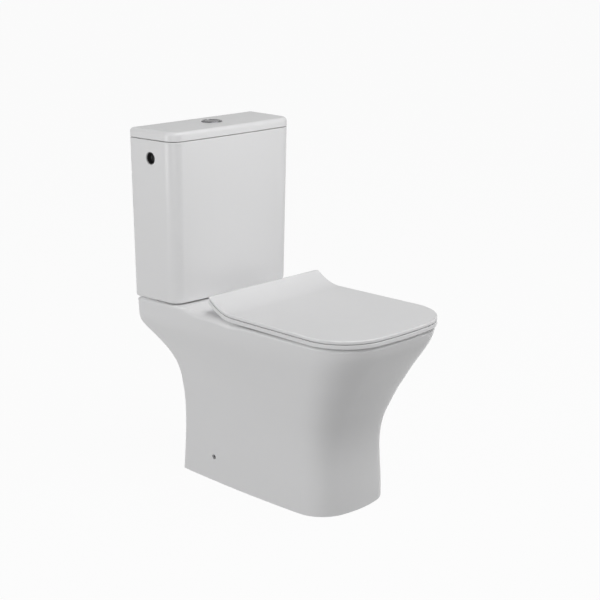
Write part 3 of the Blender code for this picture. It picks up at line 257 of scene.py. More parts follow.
def outline(half_back, half_front, back, front, back_radius, front_radius, bow, bulge=0.0, side=26, arc=18):
    """Right half of a plan outline, from the back's middle to the front's middle."""
    points = [((half_back - back_radius) * k / 4, back) for k in range(4)]
    r = max(back_radius, 1e-5)
    points += [(half_back - r + r * math.sin(math.radians(a)), back - r + r * math.cos(math.radians(a)))
               for a in np.linspace(0, 90, 7)]
    beta = 0.0
    centre_x = half_front - front_radius
    for _ in range(6):
        reach = max(centre_x + front_radius * math.sin(beta), 1e-4)
        beta = math.atan(2 * bow / reach)
    centre_y = front + bow + front_radius * math.cos(beta)
    x0, y0 = points[-1]
    for k in range(1, side):
        t = k / side
        points.append((x0 + (half_front - x0) * t + bulge * 4 * t * (1 - t), y0 + (centre_y - y0) * t))
    points += [(centre_x + front_radius * math.cos(a), centre_y - front_radius * math.sin(a))
               for a in np.linspace(0, math.pi / 2 - beta, arc)]
    end_x = points[-1][0]
    points += [(end_x * (1 - k / 5), front + bow * (1 - k / 5) ** 2) for k in range(1, 6)]
    return points


def finish_mesh(name, shape, angle=35):
    bmesh.ops.recalc_face_normals(shape, faces=shape.faces)
    mesh = bpy.data.meshes.new(name)
    shape.to_mesh(mesh)
    shape.free()
    mesh.shade_smooth()
    mesh.set_sharp_from_angle(angle=math.radians(angle))
    piece = bpy.data.objects.new(name, mesh)
    bpy.context.scene.collection.objects.link(piece)
    return piece


def loft(name, halves, heights, angle=35):
    """Skin a pile of half outlines, mirrored; each height is z as a function of (x, y)."""
    shape = bmesh.new()
    rows = []
    for half, height in zip(halves, heights):
        right = [shape.verts.new((x, y, height(x, y))) for x, y in half]
        left = [shape.verts.new((-x, y, height(x, y))) for x, y in half[1:-1]]
        rows.append(right + left[::-1])
    count = len(rows[0])
    for low, high in zip(rows, rows[1:]):
        for i in range(count):
            j = (i + 1) % count
            shape.faces.new((low[i], low[j], high[j], high[i]))
    last = len(halves[0]) - 1
    for row in (rows[0], rows[-1]):
        right, left = row[:last + 1], [row[0]] + row[:last:-1] + [row[last]]
        for i in range(last):
            corners = [right[i], right[i + 1], left[i + 1], left[i]]
            shape.faces.new(list(dict.fromkeys(corners)))
    return finish_mesh(name, shape, angle)


def level(z):
    return lambda x, y: z


def rod(name, centre, radius, length, axis="Z", sides=64):
    shape = bmesh.new()
    turn = Matrix.Rotation(math.radians(90), 4, "Y") if axis == "X" else Matrix()
    bmesh.ops.create_cone(shape, cap_ends=True, segments=sides, radius1=radius, radius2=radius, depth=length,
                          matrix=Matrix.Translation(centre) @ turn)
    return finish_mesh(name, shape)


def block(name, low, high):
    low, high = Vector(low), Vector(high)
    shape = bmesh.new()
    bmesh.ops.create_cube(shape, size=1.0,
                          matrix=Matrix.Translation((low + high) / 2) @ Matrix.Diagonal((*(high - low), 1.0)))
    return finish_mesh(name, shape)


def turned(name, profile, centre, sides=96, axis="Z"):
    """Turn a profile of (radius, height) round an axis; one that ends off the axis closes on itself."""
    shape = bmesh.new()
    closed = not (profile[0][0] == 0 and profile[-1][0] == 0)
    rings = []
    for radius, height in profile:
        if radius == 0:
            rings.append([shape.verts.new((0, 0, height))] * sides)
        else:
            rings.append([shape.verts.new((radius * math.cos(2 * math.pi * k / sides),
                                           radius * math.sin(2 * math.pi * k / sides), height))
                          for k in range(sides)])
    pairs = list(zip(rings, rings[1:])) + ([(rings[-1], rings[0])] if closed else [])
    for a, b in pairs:
        for k in range(sides):
            j = (k + 1) % sides
            corners = list(dict.fromkeys((a[k], a[j], b[j], b[k])))
            if len(corners) > 2:
                shape.faces.new(corners)
    turn = {"Z": Matrix(), "X": Matrix.Rotation(math.radians(90), 4, "Y"),
            "-X": Matrix.Rotation(math.radians(-90), 4, "Y")}[axis]
    bmesh.ops.transform(shape, matrix=Matrix.Translation(centre) @ turn, verts=shape.verts)
    return finish_mesh(name, shape, 40)


def boolean(piece, operation, others):
    """Apply one Boolean with several pieces, which are used up."""
    holder = bpy.data.collections.new("operands")
    for other in others:
        bpy.context.scene.collection.objects.unlink(other)
        holder.objects.link(other)
    bpy.context.scene.collection.children.link(holder)
    step = piece.modifiers.new("boolean", "BOOLEAN")
    step.operation = operation
    step.operand_type = "COLLECTION"
    step.collection = holder
    step.solver = "EXACT"
    bpy.context.view_layer.update()
    result = bpy.data.meshes.new_from_object(piece.evaluated_get(bpy.context.evaluated_depsgraph_get()))
    piece.modifiers.clear()
    piece.data = result
    for other in others:
        bpy.data.objects.remove(other, do_unlink=True)
    bpy.data.collections.remove(holder)
    return piece


def settle(piece, body, slot, material, *nodes, angle=35):
    """Finish a piece's shading, dress it and put it on its body in place of its CAD nodes."""
    mesh = piece.data
    mesh.name = piece.name
    shape = bmesh.new()
    shape.from_mesh(mesh)
    bmesh.ops.remove_doubles(shape, verts=shape.verts, dist=0.00001)
    bmesh.ops.dissolve_degenerate(shape, edges=shape.edges, dist=0.000005)
    shape.to_mesh(mesh)
    shape.free()
    mesh.shade_smooth()
    mesh.set_sharp_from_angle(angle=math.radians(angle))
    mesh.materials.clear()
    mesh.materials.append(material)
    normals = piece.modifiers.new("weighted_normals", "WEIGHTED_NORMAL")
    normals.keep_sharp = True
    normals.weight = 60
    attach(piece, body)
    if nodes:
        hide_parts(*nodes)
    return piece


def fillet(radius, steps):
    """(inset, drop) pairs round a quarter turn, from the side to the top."""
    return [(radius * (1 - math.cos(a)), radius * (1 - math.sin(a)))
            for a in np.linspace(0, math.pi / 2, steps)]


# ---------------------------------------------------------------- materials
def noise(nodes, links, coords, scale, detail, low, high):
    """A noise texture mapped to a range."""
    texture = nodes.new("ShaderNodeTexNoise")
    texture.inputs["Scale"].default_value = scale
    texture.inputs["Detail"].default_value = detail
    links.new(coords.outputs["Object"], texture.inputs["Vector"])
    spread = nodes.new("ShaderNodeMapRange")
    spread.inputs["To Min"].default_value = low
    spread.inputs["To Max"].default_value = high
    links.new(texture.outputs["Fac"], spread.inputs["Value"])
    return texture, spread


def make_material(name, colour, colour_change, roughness, roughness_change, grain, grain_height, wave=0.0,
                  wave_height=0.0, metallic=0.0, coat=0.0, coat_roughness=0.03, specular=0.5):
    """A Principled material whose colour, roughness and bump vary with noise."""
    material = bpy.data.materials.new(name)
    material.use_nodes = True
    nodes, links = material.node_tree.nodes, material.node_tree.links
    shader = nodes["Principled BSDF"]
    shader.inputs["Metallic"].default_value = metallic
    shader.inputs["Coat Weight"].default_value = coat
    shader.inputs["Coat Roughness"].default_value = coat_roughness
    shader.inputs["Specular IOR Level"].default_value = specular
    coords = nodes.new("ShaderNodeTexCoord")
    _, shade = noise(nodes, links, coords, 9.0, 4.0, 0.0, 1.0)
    mix = nodes.new("ShaderNodeMix")
    mix.data_type = "RGBA"
    mix.inputs["A"].default_value = (*[c * (1 - colour_change) for c in colour], 1.0)
    mix.inputs["B"].default_value = (*[min(1.0, c * (1 + colour_change)) for c in colour], 1.0)
    links.new(shade.outputs["Result"], mix.inputs["Factor"])
    links.new(mix.outputs["Result"], shader.inputs["Base Color"])
    _, rough = noise(nodes, links, coords, 34.0, 3.0, roughness - roughness_change,
                     roughness + roughness_change)
    links.new(rough.outputs["Result"], shader.inputs["Roughness"])
    fine, _ = noise(nodes, links, coords, grain, 2.0, 0.0, 1.0)
    bump = nodes.new("ShaderNodeBump")
    bump.inputs["Strength"].default_value = 1.0
    bump.inputs["Distance"].default_value = grain_height
    links.new(fine.outputs["Fac"], bump.inputs["Height"])
    if wave:
        broad, _ = noise(nodes, links, coords, wave, 1.0, 0.0, 1.0)
        swell = nodes.new("ShaderNodeBump")
        swell.inputs["Strength"].default_value = 1.0
        swell.inputs["Distance"].default_value = wave_height
        links.new(broad.outputs["Fac"], swell.inputs["Height"])
        links.new(swell.outputs["Normal"], bump.inputs["Normal"])
    links.new(bump.outputs["Normal"], shader.inputs["Normal"])
    return material


GLAZE = make_material("glaze", (0.80, 0.80, 0.805), 0.006, 0.25, 0.03, 420, 0.000006, wave=11,
                      wave_height=0.00035, specular=0.45)
SEAT = make_material("seat_gloss", (0.80, 0.80, 0.805), 0.004, 0.24, 0.03, 900, 0.000004, wave=7,
                     wave_height=0.00010, specular=0.45)
CHROME = make_material("chrome_plate", (0.52, 0.53, 0.55), 0.03, 0.10, 0.03, 500, 0.000003, metallic=1.0)
# The button's and bezel's chrome is darkened: a painted reflection of dark surroundings, put into its colour
CHROME_DIMMED_FOR_PAINTED_REFLECTION = make_material("button_plate", (0.20, 0.20, 0.21), 0.05, 0.16, 0.04, 500, 0.000003, metallic=1.0)
STEEL = make_material("zinc_steel", (0.58, 0.58, 0.60), 0.08, 0.34, 0.08, 800, 0.00002, metallic=1.0)
RUBBER = make_material("rubber_black", (0.028, 0.028, 0.028), 0.25, 0.72, 0.08, 1200, 0.00003)
BLACK = make_material("plastic_black", (0.018, 0.018, 0.018), 0.15, 0.42, 0.06, 1500, 0.00001)
WHITE = make_material("plastic_white", (0.78, 0.78, 0.77), 0.02, 0.42, 0.06, 1500, 0.00001)
GREY = make_material("plastic_grey", (0.43, 0.45, 0.48), 0.03, 0.45, 0.06, 1500, 0.00001)
NYLON = make_material("nylon_cream", (0.72, 0.71, 0.66), 0.03, 0.52, 0.05, 1200, 0.00002)
BY_SLOT = {"glazed_ceramic": GLAZE, "seat_plastic": SEAT, "chrome": CHROME, "steel": STEEL,
           "black_rubber": RUBBER, "black_plastic": BLACK, "white_plastic": WHITE, "grey_plastic": GREY,
           "nylon": NYLON}


# ---------------------------------------------------------------- pan
def deck_z(x, y):
    return PLATFORM_Z - DECK_RISE * smooth_step(BACK_Y - y, DECK_SLOPE_START, DECK_SLOPE_END)


def shelf_softness(y):
    """0 to 1: how far the deck's side edge is opened out between the tank and the seat."""
    distance = BACK_Y - y
    return smooth_step(distance, *SOFT_FROM) * (1 - smooth_step(distance, *SOFT_TO))


def pan_outline(z, inset=0.0, back_inset=0.0):
    share = z / RIM_Z
    flare = flare_at(share)
    neck = neck_at(share)
    half_back = SKIRT_REAR_HALF + (SHELF_HALF - SKIRT_REAR_HALF) * neck
    half_front = FOOT_HALF + (RIM_HALF - FOOT_HALF) * flare
    front = FRONT_Y + FOOT_SETBACK + (RIM_SETBACK - FOOT_SETBACK) * flare
    radius = FOOT_CORNER + (RIM_CORNER - FOOT_CORNER) * flare
    bow = FOOT_BOW + (RIM_BOW - FOOT_BOW) * flare
    back = from_back(SKIRT_REAR * (1 - neck))
    return outline(half_back - inset, half_front - inset, back - back_inset, front + inset, 0.0,
                   radius - inset, bow, FOOT_BULGE * (1 - flare))


def bowl_outline(share, wall):
    mouth_front = FRONT_Y + RIM_SETBACK + BOWL_RIM
    pull = share ** 1.6

    def between(mouth, sump):
        return mouth + (sump - mouth) * pull
    half = between(BOWL_HALF, SUMP_HALF) + wall
    return outline(half, half, between(from_back(BOWL_BACK), from_back(SUMP_BACK)) + wall,
                   between(mouth_front, from_back(SUMP_FRONT)) - wall,
                   between(BOWL_BACK_CORNER, SUMP_HALF - 0.002) + wall,
                   between(BOWL_CORNER, SUMP_HALF - 0.002) + wall, 0.001, side=12, arc=14)


def trap(name, radius, overrun):
    """A tube from the sump up over the crown and down to the outlet; the route is (from the back, z)."""
    low = SUMP_Z + TRAP_BORE
    route = ((SUMP_BACK + 0.055, low + 0.002), (SUMP_BACK + 0.02, low + 0.006),
             (SUMP_BACK - 0.025, low + 0.040), (CROWN_AT + 0.022, CROWN_Z - 0.010), (CROWN_AT, CROWN_Z),
             (CROWN_AT - 0.030, CROWN_Z - 0.010), (CROWN_AT - 0.062, OUTLET_Z + 0.030),
             (CROWN_AT - 0.095, OUTLET_Z + 0.004), (CROWN_AT - 0.125, OUTLET_Z),
             (OUTLET_END - overrun, OUTLET_Z))
    curve = bpy.data.curves.new(name, "CURVE")
    curve.dimensions = "3D"
    line = curve.splines.new("POLY")
    line.points.add(len(route) - 1)
    for point, (distance, z) in zip(line.points, route):
        point.co = (0.0, from_back(distance), z, 1.0)
    curve.bevel_depth = radius
    curve.bevel_resolution = 12
    curve.use_fill_caps = True
    guide = bpy.data.objects.new(name, curve)
    bpy.context.scene.collection.objects.link(guide)
    bpy.context.view_layer.update()
    mesh = bpy.data.meshes.new_from_object(guide.evaluated_get(bpy.context.evaluated_depsgraph_get()))
    bpy.data.objects.remove(guide, do_unlink=True)
    shape = bmesh.new()
    shape.from_mesh(mesh)
    bmesh.ops.remove_doubles(shape, verts=shape.verts, dist=0.00001)
    return finish_mesh(name, shape)


def make_pan():
    shares = np.linspace(0, 1, 45)[:-1]
    shares = [s for s in shares if s * RIM_Z < RIM_Z - RIM_FILLET - 0.002]
    halves = [pan_outline(RIM_Z * s) for s in shares]
    heights = [level(RIM_Z * s) for s in shares]
    edge = pan_outline(RIM_Z)
    for (inset, drop), (unit_in, unit_drop) in zip(fillet(RIM_FILLET, 8), fillet(1.0, 8)):
        row = []
        for (x, y), (x0, y0) in zip(pan_outline(RIM_Z, inset, inset), edge):
            more = SHELF_FILLET_MORE * shelf_softness(y0) * unit_in if x0 > RIM_HALF / 2 else 0.0
            row.append((x - more, y))
        halves.append(row)
        heights.append(lambda x, y, drop=drop, unit=unit_drop: deck_z(x, y) - drop
                       - (SHELF_FILLET_MORE * shelf_softness(y) * unit if abs(x) > RIM_HALF / 2 else 0.0))
    pan = loft("toilet_pan", halves, heights)

    hollow_shares = np.linspace(0, 0.93, 24)
    hollow = [pan_outline(RIM_Z * s, PAN_WALL, -THROUGH) for s in hollow_shares]
    hollow_z = [level(RIM_Z * s) for s in hollow_shares]
    hollow_z[0] = level(-0.01)
    hollow.append(pan_outline(RIM_Z, PAN_WALL, -THROUGH))
    hollow_z.append(lambda x, y: deck_z(x, y) - DECK_THICK)
    boolean(pan, "DIFFERENCE", [loft("hollow", hollow, hollow_z)])

    bowl_shares = np.linspace(0, 1, 22)

    def bowl_z(share):
        return RIM_Z + (SUMP_Z - RIM_Z) * share
    duct_z = PLATFORM_Z - WELL_DEEP - DUCT_HIGH / 2
    duct_back = VALVE_Y + INLET_RADIUS
    outer = loft("bowl_outer", [bowl_outline(s, BOWL_WALL) for s in bowl_shares],
                 [level(RIM_Z - 0.004)] + [level(bowl_z(s)) for s in bowl_shares[1:-1]]
                 + [level(SUMP_Z - BOWL_WALL)])
    boolean(pan, "UNION", [
        outer, trap("trap_outer", TRAP_BORE + TRAP_WALL, 0.0),
        block("duct_outer",
              (-DUCT_HALF - DUCT_WALL, from_back(BOWL_BACK), duct_z - DUCT_HIGH / 2 - DUCT_WALL),
              (DUCT_HALF + DUCT_WALL, duct_back + DUCT_WALL, PLATFORM_Z - DECK_THICK / 2)),
        rod("well_outer", (0, VALVE_Y, PLATFORM_Z - WELL_SINK - (WELL_DEEP + DUCT_WALL) / 2),
            WELL_RADIUS + DUCT_WALL, WELL_DEEP + DUCT_WALL)])

    lip = [(BOWL_LIP * (1 - math.sin(a)), BOWL_LIP * (1 - math.cos(a)))
           for a in np.linspace(0, math.pi / 2, 7)]
    inner_rows = [bowl_outline(0, BOWL_LIP)] + [bowl_outline(0, grow) for grow, _ in lip]
    inner_z = [level(RIM_Z + 0.03)] + [lambda x, y, drop=drop: deck_z(x, y) - drop for _, drop in lip]
    inner_rows += [bowl_outline(s, 0.0) for s in bowl_shares[1:]]
    inner_z += [level(bowl_z(s)) for s in bowl_shares[1:]]
    nut_low, nut_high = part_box("fill_valve_nut")
    nut = centre_of("fill_valve_nut")
    hole_long = 4 * DECK_THICK
    cutters = [loft("bowl_inner", inner_rows, inner_z), trap("trap_inner", TRAP_BORE, 0.02),
               block("duct_inner", (-DUCT_HALF, from_back(BOWL_BACK) - 0.02, duct_z - DUCT_HIGH / 2),
                     (DUCT_HALF, VALVE_Y, duct_z + DUCT_HIGH / 2)),
               rod("inlet", (0, VALVE_Y, duct_z + DUCT_HIGH / 2), INLET_RADIUS, 2 * DUCT_HIGH),
               rod("well", (0, VALVE_Y, PLATFORM_Z), WELL_RADIUS, 2 * WELL_DEEP),
               rod("fill_hole", (nut.x, nut.y, PLATFORM_Z), (nut_high.x - nut_low.x) / 2 + FILL_NUT_PLAY,
                   hole_long)]
    for side in ("left", "right"):
        for node, radius in (("tank_bolt_", TANK_BOLT_HOLE), ("seat_bolt_", SEAT_BOLT_HOLE)):
            bolt = centre_of(node + side)
            cutters.append(rod(node + "hole", (bolt.x, bolt.y, PLATFORM_Z), radius, hole_long, sides=32))
        cutters.append(rod("side_hole", centre_of("side_screw_" + side), SIDE_FIXING_HOLE, 4 * PAN_WALL,
                           "X", sides=32))
    boolean(pan, "DIFFERENCE", cutters)
    return settle(pan, "base", "glazed_ceramic", GLAZE, "pan", angle=32)


# ---------------------------------------------------------------- cistern
def tank_outline(share, inset=0.0):
    half_back = CAD_HIGH.x - TANK_BASE_NARROW * (1 - share)
    depth = TANK_DEPTH - TANK_BASE_SHALLOW * (1 - share)
    bow = TANK_BASE_BOW + (TANK_BOW - TANK_BASE_BOW) * share
    half_front = half_back - TANK_SIDE_TAPER * depth
    return outline(half_back - inset, half_front - inset, BACK_Y - inset, BACK_Y - depth - bow + inset,
                   max(TANK_BACK_RADIUS - inset, 0.003), max(TANK_FRONT_RADIUS - inset, 0.003), bow,
                   side=8, arc=14)


def make_tank():
    halves, heights = [], []
    for inset, drop in reversed(fillet(TANK_EDGE, 9)):
        halves.append(tank_outline(0.0, inset))
        heights.append(level(TANK_Z + drop))
    for share in np.linspace(0.02, 0.99, 16):
        halves.append(tank_outline(share))
        heights.append(level(TANK_Z + (TANK_TOP - TANK_Z) * share))
    for inset, drop in fillet(MOUTH_EDGE, 5):
        halves.append(tank_outline(1.0, inset))
        heights.append(level(TANK_TOP - MOUTH_DROP - drop))
    tank = loft("cistern", halves, heights)
    inside = [tank_outline(0.0, TANK_WALL + TANK_EDGE), tank_outline(0.0, TANK_WALL),
              tank_outline(1.0, TANK_WALL)]
    hole_long = 3 * TANK_FLOOR_THICK
    cutters = [loft("tank_inner", inside, [level(TANK_FLOOR_Z), level(TANK_FLOOR_Z + TANK_EDGE),
                                           level(TANK_TOP + 0.01)]),
               rod("valve_hole", (0, VALVE_Y, TANK_FLOOR_Z), VALVE_HOLE, hole_long)]
    nut = centre_of("fill_valve_nut")
    cutters.append(rod("fill_hole", (nut.x, nut.y, TANK_FLOOR_Z), FILL_HOLE, hole_long))
    for side in ("left", "right"):
        bolt = centre_of("tank_bolt_" + side)
        cutters.append(rod("bolt_hole", (bolt.x, bolt.y, TANK_FLOOR_Z), TANK_BOLT_HOLE, hole_long, sides=32))
        cutters.append(rod("inlet_hole", centre_of("inlet_plug_" + side), SIDE_INLET_HOLE, 4 * TANK_WALL,
                           "X"))
    boolean(tank, "DIFFERENCE", cutters)
    return settle(tank, "base", "glazed_ceramic", GLAZE, "cistern_tank", angle=32)


def make_cistern_lid():
    halves, heights = [], []
    rest = TANK_TOP + LID_REST
    for inset, drop in reversed(fillet(MOUTH_EDGE, 5)):
        halves.append(tank_outline(1.0, inset))
        heights.append(level(rest + drop))
    for inset, drop in fillet(LID_EDGE, 14):
        halves.append(tank_outline(1.0, inset))
        heights.append(level(HEIGHT - drop))
    lid = loft("cistern_cover", halves, heights)
    lip = TANK_WALL + LIP_PLAY
    boolean(lid, "UNION", [loft("lip", [tank_outline(1.0, lip)] * 2,
                                [level(rest - LIP_DROP), level(HEIGHT - LID_WALL)])])
    boolean(lid, "DIFFERENCE", [
        loft("lid_inner", [tank_outline(1.0, lip + LIP_WALL)] * 2, [level(rest - 2 * LIP_DROP),
                                                                  level(HEIGHT - LID_WALL)]),
        rod("button_hole", (0, VALVE_Y, HEIGHT), BUTTON_HOLE, 4 * LID_WALL)])
    return settle(lid, "cistern_lid_body", "glazed_ceramic", GLAZE, "cistern_lid", angle=32)


# ---------------------------------------------------------------- seat
def ramp(x, y):
    t = (y - from_back(RAMP_START)) / RAMP_RUN
    t = min(max(t, 0.0), 1.0)
    return RAMP_RISE * t * t


def seat_outline(back, inset=0.0, back_inset=0.0):
    return outline(SEAT_BACK_HALF - inset, SEAT_HALF - inset, from_back(back) - back_inset, FRONT_Y + inset,
                   SEAT_BACK_CORNER, SEAT_CORNER - inset, SEAT_BOW, side=44, arc=22)


def slab(name, back, z, thick, low_edge, high_edge, back_edge):
    """A plate of the seat's outline that follows the ramp, with rounded edges."""
    halves, heights = [], []
    for inset, drop in reversed(fillet(low_edge, 5)):
        halves.append(seat_outline(back, inset, inset))
        heights.append(lambda x, y, z1=z + drop: z1 + ramp(x, y))
    for inset, drop in fillet(high_edge, 9):
        halves.append(seat_outline(back, inset, inset * back_edge / high_edge))
        heights.append(lambda x, y, z1=z + thick - drop: z1 + ramp(x, y))
    return loft(name, halves, heights)


def knuckle(name, x0, x1, web_low, web_high):
    """A hinge knuckle round the axis, and its web up into the plate."""
    x0, x1 = sorted((x0, x1))
    return [rod(name, ((x0 + x1) / 2, HINGE_Y, HINGE_Z), KNUCKLE, x1 - x0, "X", 96),
            block(name + "_web", (x0, HINGE_Y + web_low, HINGE_Z - 0.003),
                  (x1, HINGE_Y + web_high[0], HINGE_Z + web_high[1]))]


def ring_hole(top, bottom):
    """The cutter of the ring's hole, whose top edge is rounded."""
    edge = RING_HOLE_EDGE
    steps = [(edge, top + 0.02)]
    steps += [(edge * (1 - math.sin(a)), top - edge * (1 - math.cos(a)))
              for a in np.linspace(0, math.pi / 2, 7)]
    steps.append((0.0, bottom - 0.01))
    rows = [outline(RING_HOLE_HALF + grow, RING_HOLE_HALF + grow, from_back(RING_HOLE_BACK) + grow,
                    FRONT_Y + RING_HOLE_FRONT - grow, RING_HOLE_BACK_CORNER + grow, RING_HOLE_CORNER + grow,
                    0.001, side=14, arc=16) for grow, _ in steps]
    return loft("ring_hole", rows, [level(z) for _, z in steps])


def hinge_bores(side, kind, long, shift):
    """Bores for the hinge pin and for the ring's or the lid's damper."""
    pin_low, pin_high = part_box("hinge_pin_" + side)
    pin_x = (pin_low.x + pin_high.x) / 2
    damper_x = centre_of(kind + "_damper_" + side).x + shift
    return [rod("pin", (pin_x, HINGE_Y, HINGE_Z), PIN_BORE, pin_high.x - pin_low.x + PIN_PLAY, "X", 32),
            rod("damper", (damper_x, HINGE_Y, HINGE_Z), DAMPER_BORE, long, "X", 32)]


def make_ring():
    ring = slab("toilet_seat_ring", SEAT_BACK + SEAT_GAP, RING_Z, RING_THICK - RING_THINNER, RING_LOW_EDGE,
                RING_TOP_EDGE, RING_TOP_EDGE)
    inner = HINGE_SPACING / 2 + POST_HALF
    notch_y = HINGE_Y - KNUCKLE - KNUCKLE_PLAY
    above = RIM_Z + 0.08
    boolean(ring, "DIFFERENCE", [ring_hole(RING_Z + RING_THICK, RING_Z),
                                 block("ring_notch", (-inner, notch_y, RIM_Z), (inner, BACK_Y, above))])
    cuts, joins, bores = [], [], []
    for side, sign in (("left", -1), ("right", 1)):
        damper_low, damper_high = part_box("ring_damper_" + side)
        near = inner + POST_PLAY
        far = max(abs(damper_low.x), abs(damper_high.x)) + 0.003
        joins += knuckle("ring_knuckle_" + side, sign * near, sign * far, -0.011, (-0.002, 0.0055))
        x0, x1 = sorted((sign * inner, sign * far))
        cuts.append(block("ring_back_" + side, (x0 - 0.001, from_back(RING_BACK), RIM_Z),
                          (x1, BACK_Y, above)))
        x0, x1 = sorted((sign * (far - 0.001), sign * (SEAT_HALF + 0.01)))
        sweep = block("corner_sweep_" + side, (x0, HINGE_Y, HINGE_Z), (x1, BACK_Y, HINGE_Z + THROUGH))
        boolean(sweep, "DIFFERENCE", [rod("sweep", ((x0 + x1) / 2, HINGE_Y, HINGE_Z), CORNER_SWEEP, 0.2,
                                          "X", 96)])
        cuts.append(sweep)
        bores += hinge_bores(side, "ring", RING_DAMPER_LONG, 0.0)
    boolean(ring, "DIFFERENCE", cuts)
    boolean(ring, "UNION", joins)
    boolean(ring, "DIFFERENCE", bores)
    settle(ring, "seat_ring_body", "seat_plastic", SEAT, "seat_ring", angle=32)


def make_seat_lid():
    lid_z = RING_Z + RING_THICK + SEAT_GAP
    lid = slab("toilet_seat_lid", SEAT_BACK, lid_z, SEAT_LID_THICK, LID_LOW_EDGE, LID_TOP_EDGE, LID_BACK_EDGE)
    joins, cuts = [], []
    for side, sign in (("left", -1), ("right", 1)):
        near = HINGE_SPACING / 2 - POST_HALF - POST_PLAY
        far = near - LID_KNUCKLE_LONG
        joins += knuckle("lid_knuckle_" + side, sign * near, sign * far, -0.006, (0.006, 0.0155))
        cuts += hinge_bores(side, "lid", LID_DAMPER_LONG, -sign * 0.002)
        buffer = centre_of("lid_buffer_" + side)
        cuts.append(rod("buffer", (buffer.x, buffer.y, lid_z), BUFFER_BORE, BUFFER_BORE_DEEP))
    boolean(lid, "UNION", joins)
    boolean(lid, "DIFFERENCE", cuts)
    settle(lid, "seat_lid_body", "seat_plastic", SEAT, "seat_lid", angle=32)


# ---------------------------------------------------------------- button, plugs, hinge posts
def make_button():
    centre = (0, VALVE_Y, 0)
    top, low = BEZEL_HIGH.z, BEZEL_LOW.z
    outer, tube, bore = BEZEL_RADIUS, BEZEL_TUBE, BEZEL_BORE
    bezel = turned("flush_bezel", [(bore, top - 0.0006), (bore + 0.0006, top), (outer - 0.0028, top),
                                   (outer - 0.0012, top - 0.0004), (outer - 0.0003, top - 0.0012),
                                   (outer, top - 0.0020), (outer, HEIGHT + 0.0003), (tube, HEIGHT + 0.0003),
                                   (tube, low), (bore - 0.002, low), (bore - 0.002, low + 0.002),
                                   (bore, low + 0.002)], centre)
    settle(bezel, "cistern_lid_body", "chrome", CHROME_DIMMED_FOR_PAINTED_REFLECTION, "button_bezel", angle=40)
    radius = bore - BUTTON_PLAY
    base, face = (corner.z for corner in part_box("full_flush_button"))
    for name, split, sign in (("full_flush", BUTTON_SPLIT - BUTTON_PLAY / 2, -1),
                              ("half_flush", BUTTON_SPLIT + BUTTON_PLAY / 2, 1)):
        dish = [(radius * k / 8, face - BUTTON_DISH * (1 - (k / 8) ** 2)) for k in range(8)]
        button = turned(name + "_cap", dish + [(radius - 0.0008, face - 0.0001), (radius, face - 0.0009),
                                               (radius, base), (0, base)], centre)
        cutter = block("split", (split if sign < 0 else -THROUGH, VALVE_Y - THROUGH, base - THROUGH),
                       (THROUGH if sign < 0 else split, VALVE_Y + THROUGH, face + THROUGH))
        boolean(button, "DIFFERENCE", [cutter])
        settle(button, name, "chrome", CHROME_DIMMED_FOR_PAINTED_REFLECTION, name + "_button", angle=30)


def make_plugs():
    for side, sign in (("left", -1), ("right", 1)):
        low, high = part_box("inlet_plug_" + side)
        inner, outer = (low.x, high.x) if sign > 0 else (-high.x, -low.x)
        centre = (0, (low.y + high.y) / 2, (low.z + high.z) / 2)
        stem, flange = PLUG_STEM, (high.z - low.z) / 2
        plug = turned("side_plug_" + side, [
            (0.0, inner + 0.003), (stem - 0.003, inner + 0.003), (stem - 0.0022, inner + 0.0038),
            (stem - 0.0016, outer - 0.0004), (stem - 0.0012, outer), (stem - 0.0004, outer),
            (stem, outer - 0.0004),
            (stem, inner + 0.003), (flange, inner + 0.003), (flange, inner), (0.0, inner)], centre, 64,
            "X" if sign > 0 else "-X")
        settle(plug, "base", "black_plastic", BLACK, "inlet_plug_" + side, angle=40)


def make_posts():
    for side in ("left", "right"):
        low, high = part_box("hinge_post_" + side)
        x, base = (low.x + high.x) / 2, low.z
        disc = (high.x - low.x) / 2
        post = turned("hinge_cover_" + side, [
            (0, base + 0.0040), (disc - 0.004, base + 0.0040), (disc - 0.0015, base + 0.0034),
            (disc - 0.0004, base + 0.0024), (disc, base + 0.0012), (disc, base), (0, base)], (x, HINGE_Y, 0))
        boolean(post, "UNION", [rod("neck", (x, HINGE_Y, base + 0.011), POST_NECK, 0.018, sides=48),
                                rod("barrel", (x, HINGE_Y, HINGE_Z), POST_BARREL, 2 * POST_HALF, "X", 64)])
        boolean(post, "DIFFERENCE", [rod("bore", (x, HINGE_Y, HINGE_Z), PIN_BORE, 3 * POST_HALF, "X", 32),
                                     rod("socket", (x, HINGE_Y, base), BOLT_SOCKET, 0.0074, sides=32)])
        bevel = post.modifiers.new("edges", "BEVEL")
        bevel.width = 0.0004
        bevel.segments = 2
        bevel.limit_method = "ANGLE"
        bevel.angle_limit = math.radians(45)
        settle(post, "base", "chrome", CHROME, "hinge_post_" + side, angle=40)


